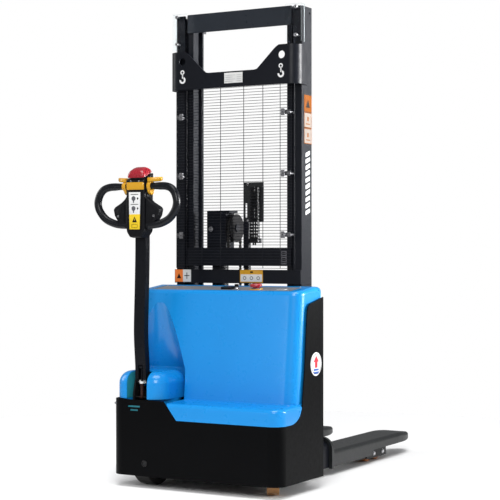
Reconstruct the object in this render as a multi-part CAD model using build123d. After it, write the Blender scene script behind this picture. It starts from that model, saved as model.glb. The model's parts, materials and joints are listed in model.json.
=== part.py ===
from build123d import *
import math
import os

os.makedirs("parts", exist_ok=True)

# Walk-behind electric stacker. Millimetres, +X right, +Y towards the fork tips, +Z up.
# Origin: on the floor, machine centre plane, under the front face of the skirt.

# ---------------- driving dimensions ----------------
HALF_WIDTH = 400.0          # chassis half width
BODY_DEPTH = 377.0          # skirt front to side panel rear edge
CLEARANCE = 50.0            # skirt above the floor
SKIRT_T = 4.0
CORNER_R = 55.0
SKIRT_LOW = 285.0           # skirt top edge, main part
SKIRT_HIGH = 363.0          # skirt top edge around the drive unit
PANEL_TOP = 787.0           # side panel, rear corner

HOOD_T = 5.0
HOOD_HALF = 388.0
HOOD_TOP_FRONT = 812.0
HOOD_TOP_REAR = 830.0
PANEL_TILT = 6.6            # instrument panel slope, degrees
PANEL_Y = 268.0

STEER_X = -274.0            # steering axis
STEER_Y = 125.0
DOME_R = 119.5
DOME_CORNER = 70.0
POCKET_R = 144.5
SLOT_HALF = 50.0
DOME_TOP = 477.0
WHEEL_R = 105.0
WHEEL_W = 70.0

PIVOT_Y = 60.0              # tiller hinge line
PIVOT_Z = 433.0
SPRING_ARM = 65.0           # both gas spring pins sit this far from the tiller hinge
SPRING_TOP_DEG = 105.0
SPRING_LOW_DEG = 257.0
ARM_HALF = 26.0
HEAD_Y = 15.0               # axis of the handle tubes and thumb throttle
HEAD_Z = 1243.0
TUBE_R = 13.75
GRIP_R = 16.0
BELLY_LOW = 1270.8          # belly button rim: height at Y -20, and its slope towards the rear
BELLY_SLOPE = 0.44
BELLY_TILT = math.degrees(math.atan(BELLY_SLOPE))
BELLY_RISE = 28.5            # belly button height above its sloping rim

CASTER_X = 288.0            # caster swivel axis
CASTER_Y = 149.0
CASTER_R = 65.0
CASTER_W = 50.0

MAST_Z = 1994.0
OUTER_HALF = 306.0
RAIL_Y0 = 364.0
RAIL_Y1 = 454.0
INNER_Y0 = 378.0
INNER_Y1 = 462.0
MESH_Z0 = 903.0
MESH_Z1 = 1667.0
MESH_ROWS = 63
MESH_PITCH = (MESH_Z1 - MESH_Z0 - 3) / MESH_ROWS
CYL_X = 268.0
CYL_Y = 477.0
FREE_X = -125.0
FREE_Y = 430.0
SHEAVE_X = -60.0
SHEAVE_Y = 440.0
SHEAVE_Z = 1075.0
CHAIN_R = 50.0

FORK_X = 205.0
FORK_HALF = 80.0
FORK_TOP = 108.0
FORK_TIP = 1625.0
ROLLER_R = 40.0
ROLLER_W = 60.0
ROLLER_YS = (1156.0, 1251.0)

RUN = 0.05                  # running clearance on shafts


# ---------------- helpers ----------------
def block(x0, x1, y0, y1, z0, z1):
    return Pos((x0 + x1) / 2, (y0 + y1) / 2, (z0 + z1) / 2) * Box(x1 - x0, y1 - y0, z1 - z0)


def rod_x(x0, x1, y, z, r):
    return Pos((x0 + x1) / 2, y, z) * Rot(0, 90, 0) * Cylinder(r, x1 - x0)


def rod_y(x, y0, y1, z, r):
    return Pos(x, (y0 + y1) / 2, z) * Rot(90, 0, 0) * Cylinder(r, y1 - y0)


def rod_z(x, y, z0, z1, r):
    return Pos(x, y, (z0 + z1) / 2) * Cylinder(r, z1 - z0)


def outline_xz(points, y0, y1):
    plane = Plane((0, y0, 0), x_dir=(1, 0, 0), z_dir=(0, -1, 0))
    return extrude(plane * make_face(Polyline(*points, close=True)), amount=y0 - y1)


def outline_yz(points, x0, x1):
    plane = Plane((x0, 0, 0), x_dir=(0, 1, 0), z_dir=(1, 0, 0))
    return extrude(plane * make_face(Polyline(*points, close=True)), amount=x1 - x0)


def outline_xy(points, z0, z1):
    plane = Plane((0, 0, z0))
    return extrude(plane * make_face(Polyline(*points, close=True)), amount=z1 - z0)


def both_sides(shape):
    return [shape, mirror(shape, about=Plane.YZ)]


def group(shapes):
    return Compound(children=[s for item in shapes for s in item.solids()])


def save(shape, node):
    solids = shape.solids()
    if len(solids) == 1:
        export_step(solids[0], "parts/" + node + ".step")
    else:
        export_step(Compound(children=list(solids)), "parts/" + node + ".step")


# ---------------- skirt and side panels ----------------
def body_plan(inset, rear):
    width = 2 * (HALF_WIDTH - inset)
    depth = rear - inset
    plan = Pos(0, inset + depth / 2) * Rectangle(width, depth)
    front = plan.vertices().sort_by(Axis.Y)[:2]
    return fillet(front, CORNER_R - inset)


RIGHT_EDGE = [
    (98, 285), (120, 287), (141, 293), (160, 303), (176, 318), (188, 340), (196, 380),
    (203, 432), (213, 500), (225, 631), (235, 735), (242, 752), (258, 762), (320, 774),
]
LEFT_EDGE = [
    (196, 363), (208, 366), (216, 376), (219, 400), (224, 500), (231, 631), (238, 735),
    (244, 752), (258, 762), (320, 774),
]


def side_window(edge, x0, x1):
    rear = [(380, PANEL_TOP + 1), (380, 900), (50, 900), (50, edge[0][1])]
    return outline_yz(edge + rear, x0, x1)


def outside_window(edge, x0, x1):
    shifted = [(y - 3, z + 2.5) for y, z in edge]
    rear = [(400, shifted[-1][1] + 14), (400, 200), (shifted[0][0], 200)]
    return outline_yz(shifted + rear, x0, x1)


def make_skirt():
    height = PANEL_TOP - CLEARANCE
    ring = body_plan(0, BODY_DEPTH) - body_plan(SKIRT_T, BODY_DEPTH + 50)
    skirt = extrude(Plane((0, 0, CLEARANCE)) * ring, amount=height)
    front = [
        (-410, SKIRT_HIGH), (-141, SKIRT_HIGH), (-78, SKIRT_LOW), (410, SKIRT_LOW),
        (410, 900), (-410, 900),
    ]
    skirt -= outline_xz(front, -1, 56)
    skirt -= side_window(RIGHT_EDGE, 340, 410)
    skirt -= side_window(LEFT_EDGE, -410, -340)
    for x0, x1, z in ((-316, -255, 335), (-305, -265, 320)):
        skirt -= block(x0, x1, -1, SKIRT_T + 1, z - 3.5, z + 3.5)
    return skirt


# ---------------- hood ----------------
def hood_form(t):
    rear = BODY_DEPTH + 3 * t
    low = extrude(Plane((0, 0, 200)) * body_plan(t, rear), amount=200)
    ledge = [(-1, 200), (-1, 353.5 - t), (230, 363 - t), (rear, 363 - t), (rear, 200)]
    low = low & outline_yz(ledge, -HALF_WIDTH, HALF_WIDTH)
    rim = [e for e in low.edges() if e.center().Z > 340 - t and e.center().Y < rear - 1]
    low = fillet(rim, 17 - t)
    upper = [
        (141 + t, 200), (141 + t, 320), (190 + t, HOOD_TOP_FRONT - t),
        (345, HOOD_TOP_REAR - t), (rear, HOOD_TOP_REAR - 2 - t), (rear, 200),
    ]
    body = outline_yz(upper, -HOOD_HALF + t, HOOD_HALF - t)
    corners = [e for e in body.edges() if e.center().Y < 180 and abs(e.center().X) > 370]
    body = fillet(corners, 50 - t)
    top = [e for e in body.edges() if e.center().Z > 790 and e.center().Y < 365]
    top = [e for e in top if e.center().Y < 215 or abs(e.center().X) > 340]
    body = fillet(top, 20 - t)
    return low + body


def dome_pocket(grow):
    low = rod_z(STEER_X, STEER_Y, 190, 482.2, POCKET_R + grow)
    cone = Pos(STEER_X, STEER_Y, 620) * Cone(POCKET_R + grow, 61 + grow, 276)
    return low + cone


def panel_place(x, y, lift):
    z = HOOD_TOP_FRONT + (y - 190) * math.tan(math.radians(PANEL_TILT))
    return Pos(x, y, z) * Rot(PANEL_TILT, 0, 0) * Pos(0, 0, lift)


def make_hood():
    outer = hood_form(0) - dome_pocket(0)
    inner = hood_form(HOOD_T) - dome_pocket(HOOD_T)
    inner += block(-310, 310, 280, 400, 300, 800)
    hood = outer - inner
    hood -= block(-312, 312, 346, 400, 200, 900)
    hood -= block(-401, -139, -1, 400, 0, SKIRT_HIGH + 2)
    hood -= block(-140, 401, -1, 400, 0, SKIRT_LOW + 2)
    step = [
        (-145, SKIRT_LOW), (-76, SKIRT_LOW), (-139, SKIRT_HIGH + 2), (-145, SKIRT_HIGH + 2),
    ]
    hood -= outline_xz(step, -1, 400)
    hood -= outside_window(RIGHT_EDGE, 392, 401)
    hood -= outside_window(LEFT_EDGE, -401, -392)
    hood -= panel_place(0, PANEL_Y, 0) * Box(674, 118, 30)
    return max(hood.solids(), key=lambda s: s.volume)


def make_instrument_panel():
    plate = panel_place(0, PANEL_Y, -4) * Box(672, 116, 5)
    plate -= panel_place(154, 250, -4) * Cylinder(11.3, 30)
    plate -= panel_place(62, 250, -4) * Cylinder(7.3, 30)
    lip = panel_place(0, PANEL_Y, -8.5) * (Box(690, 128, 4) - Box(640, 96, 6))
    collar = panel_place(154, 250, 1.5) * (Cylinder(21, 6) - Cylinder(14.5, 8))
    return plate + lip + collar


def make_display_pod():
    pod = panel_place(18, 252, 4.1) * Box(52, 34, 11)
    edges = pod.edges().group_by(Axis.Z)[-1]
    return chamfer(edges, 2)


def make_estop():
    head = panel_place(154, 250, 17) * Cylinder(25, 12)
    head = fillet(head.edges().group_by(Axis.Z)[-1], 4)
    neck = panel_place(154, 250, 8) * Cylinder(14, 6)
    stem = panel_place(154, 250, -6) * Cylinder(11, 24)
    return head + neck + stem


def make_key():
    barrel = panel_place(62, 250, -4) * Cylinder(7, 12)
    cap = panel_place(62, 250, 2) * Cylinder(10, 5)
    blade = panel_place(62, 250, 12) * Box(20, 3, 16)
    return barrel + cap + blade


# ---------------- chassis ----------------
def make_chassis_frame():
    deck = block(-132, 384, 12, 344, 190, 198)
    wall = block(-140, -132, 12, 344, 190, 274)
    plate = block(-384, -140, 12, 344, 262, 274)
    plate -= rod_z(STEER_X, STEER_Y, 250, 280, 62)
    floor = (deck + plate) & extrude(Plane((0, 0, 180)) * body_plan(6, 344), amount=100)
    bulkhead = block(-380, 380, 344, 352, 56, 800)
    frame = floor + wall + bulkhead
    for x in (270, -302):
        frame += block(x, x + 32, 352, 364, 60, 760)
    for x in (-380, 372):
        frame += block(x, x + 8, 250, 344, 60, 262)
    frame += block(200, 372, 60, 240, 178, 190)
    frame += rod_z(CASTER_X, CASTER_Y, 140, 180, 12)
    for x in (-396, 380):
        frame += block(x, x + 16, 260, 320, 200, 240)
    return frame


def make_battery():
    case = block(-110, 180, 172, 330, 199, 470)
    case = fillet(case.edges().filter_by(Axis.Z), 8)
    lid = block(-112, 182, 170, 332, 470, 486)
    poles = rod_z(-80, 215, 486, 500, 9) + rod_z(150, 215, 486, 500, 9)
    return case + lid + poles


def make_hydraulic_unit():
    tank = block(200, 350, 170, 330, 199, 420)
    tank = fillet(tank.edges().filter_by(Axis.Z), 15)
    manifold = block(230, 320, 200, 290, 420, 470)
    motor = rod_z(275, 245, 470, 620, 55)
    return tank + manifold + motor


def make_controller():
    base = block(-70, 180, 200, 330, 520, 530)
    box = block(-60, 170, 210, 320, 530, 575)
    for i in range(9):
        box += block(-60 + i * 27, -54 + i * 27, 210, 320, 575, 592)
    stand = block(-70, -60, 330, 344, 500, 560) + block(170, 180, 330, 344, 500, 560)
    return base + box + stand


# ---------------- legs ----------------
def make_leg(side):
    x0 = FORK_X - 55
    x1 = FORK_X + 55
    leg = block(x0, x1, RAIL_Y1, 1108, 45, 88)
    leg += block(x0, x1, 1100, 1290, 84, 92)
    skid = [(950, 46), (1000, 24), (1106, 24), (1106, 46)]
    leg += outline_yz(skid, x0, x1)
    cheek = [(1080, 92), (1080, 24), (1096, 20), (1290, 20), (1290, 92)]
    for x in (x0 - 8, x1):
        leg += outline_yz(cheek, x, x + 8)
    for y in ROLLER_YS:
        leg -= rod_x(x0 - 9, x1 + 9, y, ROLLER_R, 8.0)
    if side < 0:
        leg = mirror(leg, about=Plane.YZ)
    return leg


def make_load_roller(side, y):
    x = side * FORK_X
    tyre = rod_x(x - ROLLER_W / 2, x + ROLLER_W / 2, y, ROLLER_R, ROLLER_R)
    tyre = chamfer(tyre.edges(), 3)
    return tyre - rod_x(x - 40, x + 40, y, ROLLER_R, 8 + RUN)


def make_bright_fasteners():
    parts = []
    for side in (-1, 1):
        for y in ROLLER_YS:
            parts.append(rod_x(side * FORK_X - 62.9, side * FORK_X + 62.9, y, ROLLER_R, 8.0))
            for end in (-1, 1):
                x = side * FORK_X + end * 65.5
                parts.append(rod_x(x - 2.5, x + 2.5, y, ROLLER_R, 11))
        for z in (1870, 1987):
            x = side * 291
            parts.append(rod_y(x, 342 - 7, 342, z, 8) + rod_y(x, 342, RAIL_Y0, z, 4))
        for row in (11, 32, 53):
            z = MESH_Z0 + 1.5 + (row + 0.5) * MESH_PITCH
            clip = block(side * 248 - 9, side * 248 + 9, 305, 310, z - 14, z + 14)
            post = rod_y(side * 270, 316.5, RAIL_Y0, z, 5)
            strap = block(min(side * 248, side * 278), max(side * 248, side * 278), 316.5, 319, z - 9, z + 9)
            neck = rod_y(side * 248, 310, 316.6, z, 2.5)
            parts.append(clip + post + strap + neck)
    for x, z in ((-375, 345), (-232, 103)):
        parts.append(rod_y(x, -3, 0, z, 5 if z > 200 else 13))
    return group(parts)


# ---------------- mast, fixed stage ----------------
def outer_rail(side):
    web = block(OUTER_HALF - 10, OUTER_HALF, RAIL_Y0, RAIL_Y1, 40, MAST_Z)
    front = block(266, OUTER_HALF, RAIL_Y0, RAIL_Y0 + 12, 40, MAST_Z)
    rear = block(266, OUTER_HALF, RAIL_Y1 - 12, RAIL_Y1, 40, MAST_Z)
    rail = web + front + rear
    rail -= rod_x(OUTER_HALF - 12, OUTER_HALF + 1, RAIL_Y1 - 18, MAST_Z - 24, 5)
    if side < 0:
        rail = mirror(rail, about=Plane.YZ)
    return rail


def make_mast_foot():
    foot = block(-266, 266, RAIL_Y0, RAIL_Y1, 40, 120)
    for side in (-1, 1):
        x = side * CYL_X
        foot += block(x - 16, x + 16, RAIL_Y1, CYL_Y + 15, 92, 120)
    return foot


def make_low_bar():
    return block(-308, 308, 350, 364, 839, 897)


def make_crane_plate():
    bend = 50.0
    half = OUTER_HALF + 8.0
    plan = Pos(0, 304 + 60) * Rectangle(2 * half, 120)
    plan = fillet(plan.vertices().sort_by(Axis.Y)[:2], bend)
    inner = Pos(0, 312 + 60) * Rectangle(2 * half - 16, 120)
    inner = fillet(inner.vertices().sort_by(Axis.Y)[:2], bend - 8)
    ring = extrude(Plane((0, 0, 1667)) * (plan - inner), amount=163)
    ring -= block(-400, 400, 405, 500, 1600, 1900)
    dip = [
        (-232, 1831), (-218, 1823), (-206, 1813), (-136, 1745), (-126, 1736), (-112, 1733),
        (112, 1733), (126, 1736), (136, 1745), (206, 1813), (218, 1823), (232, 1831),
    ]
    ring -= outline_xz(dip, 300, 320)
    for x in (-242, 242):
        ring -= rod_y(x, 300, 320, 1788, 16.5)
    return ring


def make_mesh_guard():
    wires = [-275.5, -224, -148, -55, 58, 150, 232, 299.5]
    middle = (wires[0] + wires[-1]) / 2
    sheet = Pos(middle, (MESH_Z0 + MESH_Z1) / 2) * Rectangle(578, MESH_Z1 - MESH_Z0)
    holes = []
    for left, right in zip(wires[:-1], wires[1:]):
        for row in range(MESH_ROWS):
            z = MESH_Z0 + 1.5 + (row + 0.5) * MESH_PITCH
            holes.append(Pos((left + right) / 2, z) * Rectangle(right - left - 3, MESH_PITCH - 3))
    sheet = sheet - holes
    plane = Plane((0, 312.5, 0), x_dir=(1, 0, 0), z_dir=(0, -1, 0))
    return extrude(plane * sheet, amount=-3)


def make_top_guard(side):
    face = block(240, 316, 342, 346, 1843, 2000)
    wrap = block(312, 316, 346, 372, 1843, 2000)
    guard = face + wrap
    for z in (1870, 1987):
        guard -= rod_y(291, 330, 350, z, 4.0)
    if side < 0:
        guard = mirror(guard, about=Plane.YZ)
    return guard


def make_label_plates():
    parts = [
        block(-31, 58, 303, 304, 1683, 1727),
        block(-306, -225, 349, 350, 843, 897 - 1),
        block(19, 130, 349, 350, 843, 897 - 1),
        block(OUTER_HALF, OUTER_HALF + 1, 385, 453, 1423, 1626),
        block(OUTER_HALF, OUTER_HALF + 1, 385, 450, 1122, 1372),
        rod_x(HALF_WIDTH, HALF_WIDTH + 1.5, 310, 515, 48),
        rod_x(-HALF_WIDTH - 1.5, -HALF_WIDTH, 310, 515, 48),
    ]
    for x in (-240, 240):
        parts.append(block(x - 20, x + 20, 303, 304, 1692, 1750))
    return group(parts)


def make_cylinder_tubes():
    parts = []
    for side in (-1, 1):
        tube = rod_z(side * CYL_X, CYL_Y, 120, 1880, 14)
        tube -= rod_z(side * CYL_X, CYL_Y, 126, 1881, 9 + RUN)
        parts.append(tube)
    return group(parts)


def make_hose_guide():
    post = block(-5, 20, 424, 442, 120, 1110)
    plate = block(-7, 89, 428, 432, 1101, 1270)
    for x, z, h in ((4, 1150, 60), (48, 1240, 20), (48, 1140, 40)):
        plate -= block(x - 5, x + 5, 427, 433, z - h / 2, z + h / 2)
    guide = (post - block(-8, 21, 427.9, 432.1, 1101, 1111)) + plate
    for i in range(17):
        z = 1012 + i * 14
        guide += block(32, 74, 406, 428 if z > 1095 else 424, z, z + 10)
    guide += block(46, 60, 411, 419, 1006, 1248)
    guide += block(20, 32, 426, 440, 1010, 1030)
    guide += block(32, 74, 424, 440, 1010, 1030)
    return guide


# ---------------- mast, moving stage ----------------
def inner_rail(side):
    web = block(245, 255, INNER_Y0, INNER_Y1, 130, 1996)
    front = block(230, 255, INNER_Y0, INNER_Y0 + 10, 130, 1996)
    rear = block(230, 255, INNER_Y1 - 10, INNER_Y1, 130, 1996)
    rail = web + front + rear
    for z in (175, 330):
        rail += rod_x(255, 262, 409, z, 14) + rod_x(262, 292, 409, z, 32.6)
    if side < 0:
        rail = mirror(rail, about=Plane.YZ)
    return rail


def make_inner_bar(z0, z1):
    return block(-254, 254, 368, INNER_Y0, z0, z1)


def make_inner_mid_bar():
    bar = make_inner_bar(913, 988)
    return bar + block(SHEAVE_X - 12, SHEAVE_X + 12, INNER_Y0, 396, 945, 964)


def make_inner_bottom_bar():
    bar = make_inner_bar(135, 215)
    foot = block(FREE_X - 40, FREE_X + 40, INNER_Y0, FREE_Y + 38, 140, 160)
    return bar + foot


def make_cylinder_rods():
    parts = []
    for side in (-1, 1):
        rod = rod_z(side * CYL_X, CYL_Y, 160, 1930, 9)
        lug = block(234, 282, INNER_Y1, 490, 1930, 1952)
        if side < 0:
            lug = mirror(lug, about=Plane.YZ)
        parts.append(rod + lug)
    return group(parts)


def make_free_lift_tube():
    tube = rod_z(FREE_X, FREE_Y, 160, 978, 35)
    return tube - rod_z(FREE_X, FREE_Y, 170, 980, 22 + RUN)


# ---------------- free-lift crosshead, sheave and chain ----------------
def make_crosshead():
    head = block(-173, -78, 397, 466, 985, 1150)
    head += block(-79, -60, 397, 466, 1139, 1150)
    head += rod_x(-79, -44, SHEAVE_Y, SHEAVE_Z, 12)
    head += rod_x(-46, -42, SHEAVE_Y, SHEAVE_Z, 18)
    head += rod_y(-150, 391, 398, 1070, 13)
    return head


def make_free_lift_rod():
    return rod_z(FREE_X, FREE_Y, 260, 985, 22)


def make_sheave():
    core = rod_x(SHEAVE_X - 8.5, SHEAVE_X + 8.5, SHEAVE_Y, SHEAVE_Z, CHAIN_R - 4.4)
    for x in (SHEAVE_X - 12, SHEAVE_X + 8.5):
        core += rod_x(x, x + 3.5, SHEAVE_Y, SHEAVE_Z, 60)
    return core - rod_x(-90, -40, SHEAVE_Y, SHEAVE_Z, 12 + RUN)


def make_chain_wrap():
    ring = rod_x(SHEAVE_X - 7, SHEAVE_X + 7, SHEAVE_Y, SHEAVE_Z, CHAIN_R + 4)
    ring -= rod_x(SHEAVE_X - 8, SHEAVE_X + 8, SHEAVE_Y, SHEAVE_Z, CHAIN_R - 4)
    return ring - block(-80, -40, 350, 520, SHEAVE_Z - 80, SHEAVE_Z)


def make_chain_run(y, z0):
    return block(SHEAVE_X - 7, SHEAVE_X + 7, y - 4, y + 4, z0, SHEAVE_Z)


# ---------------- carriage and forks ----------------
def arch_outline(half, top, foot, r):
    rect = Pos(FORK_X, (top + foot) / 2) * Rectangle(2 * half, top - foot)
    return fillet(rect.vertices().sort_by(Axis.Y)[2:], r)


def arch_solid(half, top, foot, r, y0, y1):
    plane = Plane((0, y0, 0), x_dir=(1, 0, 0), z_dir=(0, -1, 0))
    return extrude(plane * arch_outline(half, top, foot, r), amount=y0 - y1)


def make_carriage_side():
    arm = block(205, 217, 392, 506, 150, 640)
    for z in (195, 595):
        arm += rod_x(217, 243, 420, z, 12)
        arm += rod_x(231, 243, 420, z, 31.6)
    shank = block(FORK_X - 55, FORK_X + 55, 518, 545, 112, 640)
    heel = arch_solid(67, 151, 35, 39, 545, 700) - arch_solid(59, 143, 30, 31, 540, 701)
    heel += block(FORK_X - 66, FORK_X + 66, 518, 546, 112, 150)
    return arm + shank + heel


def make_carriage():
    frame = block(-262, 262, 506, 518, 560, 640)
    frame += block(-262, 262, 506, 518, 160, 240)
    for piece in both_sides(make_carriage_side()):
        frame += piece
    frame += block(SHEAVE_X - 12, SHEAVE_X + 12, 484, 506, 228, 248)
    return frame


def nose_section(y, half, z0, z1, top_r, low_r):
    rect = Pos(FORK_X, (z0 + z1) / 2) * Rectangle(2 * half, z1 - z0)
    rect = fillet(rect.vertices().sort_by(Axis.Y)[2:], top_r)
    low = [v for v in rect.vertices() if abs(v.Y - z0) < 0.01]
    rect = fillet(low, low_r)
    return Plane((0, y, 0), x_dir=(1, 0, 0), z_dir=(0, -1, 0)) * rect


def make_fork(side):
    length = [
        (700, 38), (1096, 38), (1122, 62), (1400, 62), (1400, FORK_TOP), (700, FORK_TOP),
    ]
    fork = outline_yz(length, FORK_X - FORK_HALF, FORK_X + FORK_HALF)
    top = [e for e in fork.edges().filter_by(Axis.Y) if e.center().Z > 100]
    fork = fillet(top, 18)
    stations = [
        (1400, 80, 62, FORK_TOP, 18, 2), (1470, 77, 60.5, 106, 18, 4), (1540, 65, 59.5, 100, 17, 8),
        (1590, 45, 61.5, 92, 13, 9), (1615, 25, 65.5, 85, 9, 8), (FORK_TIP, 10, 70, 80, 4.5, 4.5),
    ]
    nose = loft([nose_section(*station) for station in stations])
    fork = fork + nose
    tunnel = block(FORK_X - 72, FORK_X + 72, 690, 1400, 0, 100)
    fork -= tunnel
    fork -= outline_xy([(140, 1399), (270, 1399), (262, 1470), (148, 1470)], 0, 92)
    collar = arch_solid(83, 167, 30, 55, 684, 700.0) - arch_solid(67, 151, 20, 39, 680, 701)
    web = arch_solid(83, 120, 38, 12, 700, 704) - arch_solid(72, 100, 30, 5, 699, 705)
    blade = fork + collar + web
    if side < 0:
        blade = mirror(blade, about=Plane.YZ)
    return blade


# ---------------- drive unit ----------------
def dome_block(inset, z0, z1, round_over):
    side = 2 * (DOME_R - inset)
    plan = Plane((STEER_X, STEER_Y, z0)) * RectangleRounded(side, side, DOME_CORNER - inset)
    form = extrude(plan, amount=z1 - z0)
    return fillet(form.edges().group_by(Axis.Z)[-1], round_over)


def make_dome():
    outer = rod_z(STEER_X, STEER_Y, 288, 370, DOME_R)
    outer += dome_block(0, 366, DOME_TOP, 52)
    inner = rod_z(STEER_X, STEER_Y, 280, 372, DOME_R - 4)
    inner += dome_block(4, 370, DOME_TOP - 4, 48)
    shell = outer - inner
    shell -= block(STEER_X - SLOT_HALF, STEER_X + SLOT_HALF, -10, 80, 330, 480)
    for x in (STEER_X - SLOT_HALF - 3, STEER_X + SLOT_HALF):
        shell += outer & block(x, x + 3, -10, 80, 326, 480)
    return shell


def make_drive_gearbox():
    x = STEER_X
    y = STEER_Y
    side = block(x - 72, x - 38, y - 42, y + 42, 62, 230)
    side = side + rod_x(x - 72, x - 38, y, WHEEL_R, 46)
    top = block(x - 72, x + 52, y - 52, y + 52, 216, 252)
    neck = rod_z(x, y, 250, 278, 60)
    table = rod_z(x, y, 276, 288, 119)
    axle = rod_x(x - 39, x + 40, y, WHEEL_R, 16)
    return side + top + neck + table + axle


def make_drive_wheel():
    wheel = rod_x(STEER_X - WHEEL_W / 2, STEER_X + WHEEL_W / 2, STEER_Y, WHEEL_R, WHEEL_R)
    wheel = fillet(wheel.edges(), 6)
    for x0, x1 in ((-WHEEL_W, -22), (22, WHEEL_W)):
        wheel -= rod_x(STEER_X + x0, STEER_X + x1, STEER_Y, WHEEL_R, 62)
    return wheel - rod_x(STEER_X - 60, STEER_X + 60, STEER_Y, WHEEL_R, 16 + RUN)


def make_traction_motor():
    motor = rod_z(STEER_X, STEER_Y, 288, 392, 45)
    motor += rod_z(STEER_X, STEER_Y, 392, 408, 36)
    for i in range(6):
        motor += rod_z(STEER_X, STEER_Y, 304 + i * 14, 310 + i * 14, 47)
    return motor


def spring_pin(angle):
    a = math.radians(angle)
    return PIVOT_Y + SPRING_ARM * math.cos(a), PIVOT_Z + SPRING_ARM * math.sin(a)


def make_tiller_pivot():
    cheek = [
        (46, 288), (70, 288), (72, 400), (74, 436), (66, 448), (54, 448), (47, 438),
        (34, 384), (34, 340), (46, 320),
    ]
    y, z = spring_pin(SPRING_LOW_DEG)
    bracket = rod_x(STEER_X - 30, STEER_X + 30, PIVOT_Y, PIVOT_Z, 7)
    bracket += rod_x(STEER_X - 30, STEER_X + 30, y, z, 4)
    for x in (STEER_X - 38, STEER_X + 30):
        bracket += outline_yz(cheek, x, x + 8)
    return bracket


def spring_frame():
    y0, z0 = spring_pin(SPRING_LOW_DEG)
    y1, z1 = spring_pin(SPRING_TOP_DEG)
    lean = math.degrees(math.atan2(-(y1 - y0), z1 - z0))
    return Pos(STEER_X, y0, z0) * Rot(lean, 0, 0), math.hypot(y1 - y0, z1 - z0)


def make_gas_tube():
    place, length = spring_frame()
    body = Pos(0, 0, 36) * Cylinder(8, 60)
    eye = Rot(0, 90, 0) * Cylinder(9, 14)
    tube = body + eye
    tube -= Pos(0, 0, 9 + 40) * Cylinder(3.5 + RUN, 80 - 2)
    tube -= Rot(0, 90, 0) * Cylinder(4 + RUN, 20)
    return place * tube


def make_gas_rod():
    place, length = spring_frame()
    rod = Pos(0, 0, length - 33) * Cylinder(3.5, 66)
    eye = Pos(0, 0, length) * Rot(0, 90, 0) * Cylinder(9, 14)
    rod = rod + eye
    rod -= Pos(0, 0, length) * Rot(0, 90, 0) * Cylinder(4 + RUN, 20)
    return place * rod


# ---------------- tiller ----------------
def arm_bar(inset):
    curve = [(34, 445), (33, 500), (24, 608), (26, 748), (33, 940), (34, 1040)]
    front = [(y + inset, z) for y, z in curve]
    rear = [(y + 30 - inset, z) for y, z in reversed(curve)]
    side = Plane.YZ * make_face(
        Spline(*front) + Line(front[-1], rear[0]) + Spline(*rear) + Line(rear[-1], front[0])
    )
    return Pos(STEER_X, 0, 0) * extrude(side, amount=ARM_HALF - inset, both=True)


def make_tiller_arm():
    arm = arm_bar(0) - (arm_bar(4) - block(-400, -100, 0, 100, 1030, 1100))
    lug = [(40, 450), (62, 450), (71, 440), (71, 428), (64, 421), (55, 421), (48, 428), (36, 446)]
    for x in (STEER_X - ARM_HALF, STEER_X + ARM_HALF - 6):
        arm += outline_yz(lug, x, x + 6)
        arm += outline_yz([(36, 444), (64, 444), (64, 452), (36, 452)], x, x + 6)
    arm -= block(STEER_X - 20, STEER_X + 20, 38, 60, 420, 520)
    arm -= block(STEER_X - 11, STEER_X + 11, 20, 40, 420, 504)
    arm -= rod_x(STEER_X - 40, STEER_X + 40, PIVOT_Y, PIVOT_Z, 7 + RUN)
    y, z = spring_pin(SPRING_TOP_DEG)
    arm += rod_x(STEER_X - 24, STEER_X + 24, y, z, 4)
    return arm


def head_outline():
    half = [
        (26, 1040), (50, 1056), (53, 1069), (92, 1098), (114, 1148), (74, 1176), (51, 1198),
        (51, 1262), (46, 1270),
    ]
    right = [(STEER_X + x, z) for x, z in half]
    left = [(STEER_X - x, z) for x, z in reversed(half)]
    return right + left


def belly_form(shrink, drop):
    rings = [
        (-16, 43, 36, 13), (0, 43, 36, 13), (10.5, 41, 34.5, 15), (19, 36, 30, 17),
        (25, 28, 23, 15), (BELLY_RISE, 14, 11, 8),
    ]
    lie = Pos(STEER_X, 28, BELLY_LOW + BELLY_SLOPE * 48 - drop) * Rot(BELLY_TILT, 0, 0)
    faces = []
    for rise, half_x, half_y, r in rings:
        level = rise if rise <= 0 else rise * (1 - shrink / BELLY_RISE)
        oval = RectangleRounded(2 * (half_x - shrink), 2 * (half_y - shrink), r - 0.8 * shrink)
        faces.append(lie * Pos(0, 0, level) * oval)
    return loft(faces)


def above_belly_plane(drop):
    low = BELLY_LOW - drop
    rise = BELLY_SLOPE * 100
    return outline_yz([(-20, low), (80, low + rise), (80, 1400), (-20, 1400)], -400, -150)


def make_tiller_head():
    wings = outline_xz(head_outline(), 0, 36)
    front_core = [
        (26, 1040), (44, 1054), (46, 1072), (46, 1262), (-46, 1262), (-46, 1072), (-44, 1054),
        (-26, 1040),
    ]
    core = [
        (26, 1040), (50, 1056), (51, 1072), (51, 1262), (-51, 1262), (-51, 1072), (-50, 1056),
        (-26, 1040),
    ]
    body = outline_xz([(STEER_X + x, z) for x, z in front_core], -6, 12)
    body += outline_xz([(STEER_X + x, z) for x, z in core], 8, 54)
    panel = [(-31, 1066), (31, 1066), (35, 1224), (-35, 1224)]
    front = outline_xz([(STEER_X + x, z) for x, z in panel], -10, -5)
    band = block(STEER_X - 43, STEER_X + 43, -10, -5, 1228, 1259)
    housing = block(STEER_X - 46, STEER_X + 46, -8, 65, 1255, 1318)
    housing = fillet(housing.edges().filter_by(Axis.Z), 8)
    housing -= above_belly_plane(9)
    shoulder = [(50, 1262), (65, 1262), (65, 1228), (54, 1216), (50, 1216)]
    housing += outline_yz(shoulder, STEER_X - 49, STEER_X + 49)
    boss = belly_form(9, 9) & block(-400, -150, -20, 70, 1262, 1330)
    head = wings + body + front + band + housing + boss
    head -= rod_y(STEER_X, 40, 60, 1200, 9.4)
    head -= block(STEER_X - 15.4, STEER_X + 15.4, 44, 60, 1142.5, 1177.5)
    return head


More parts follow.
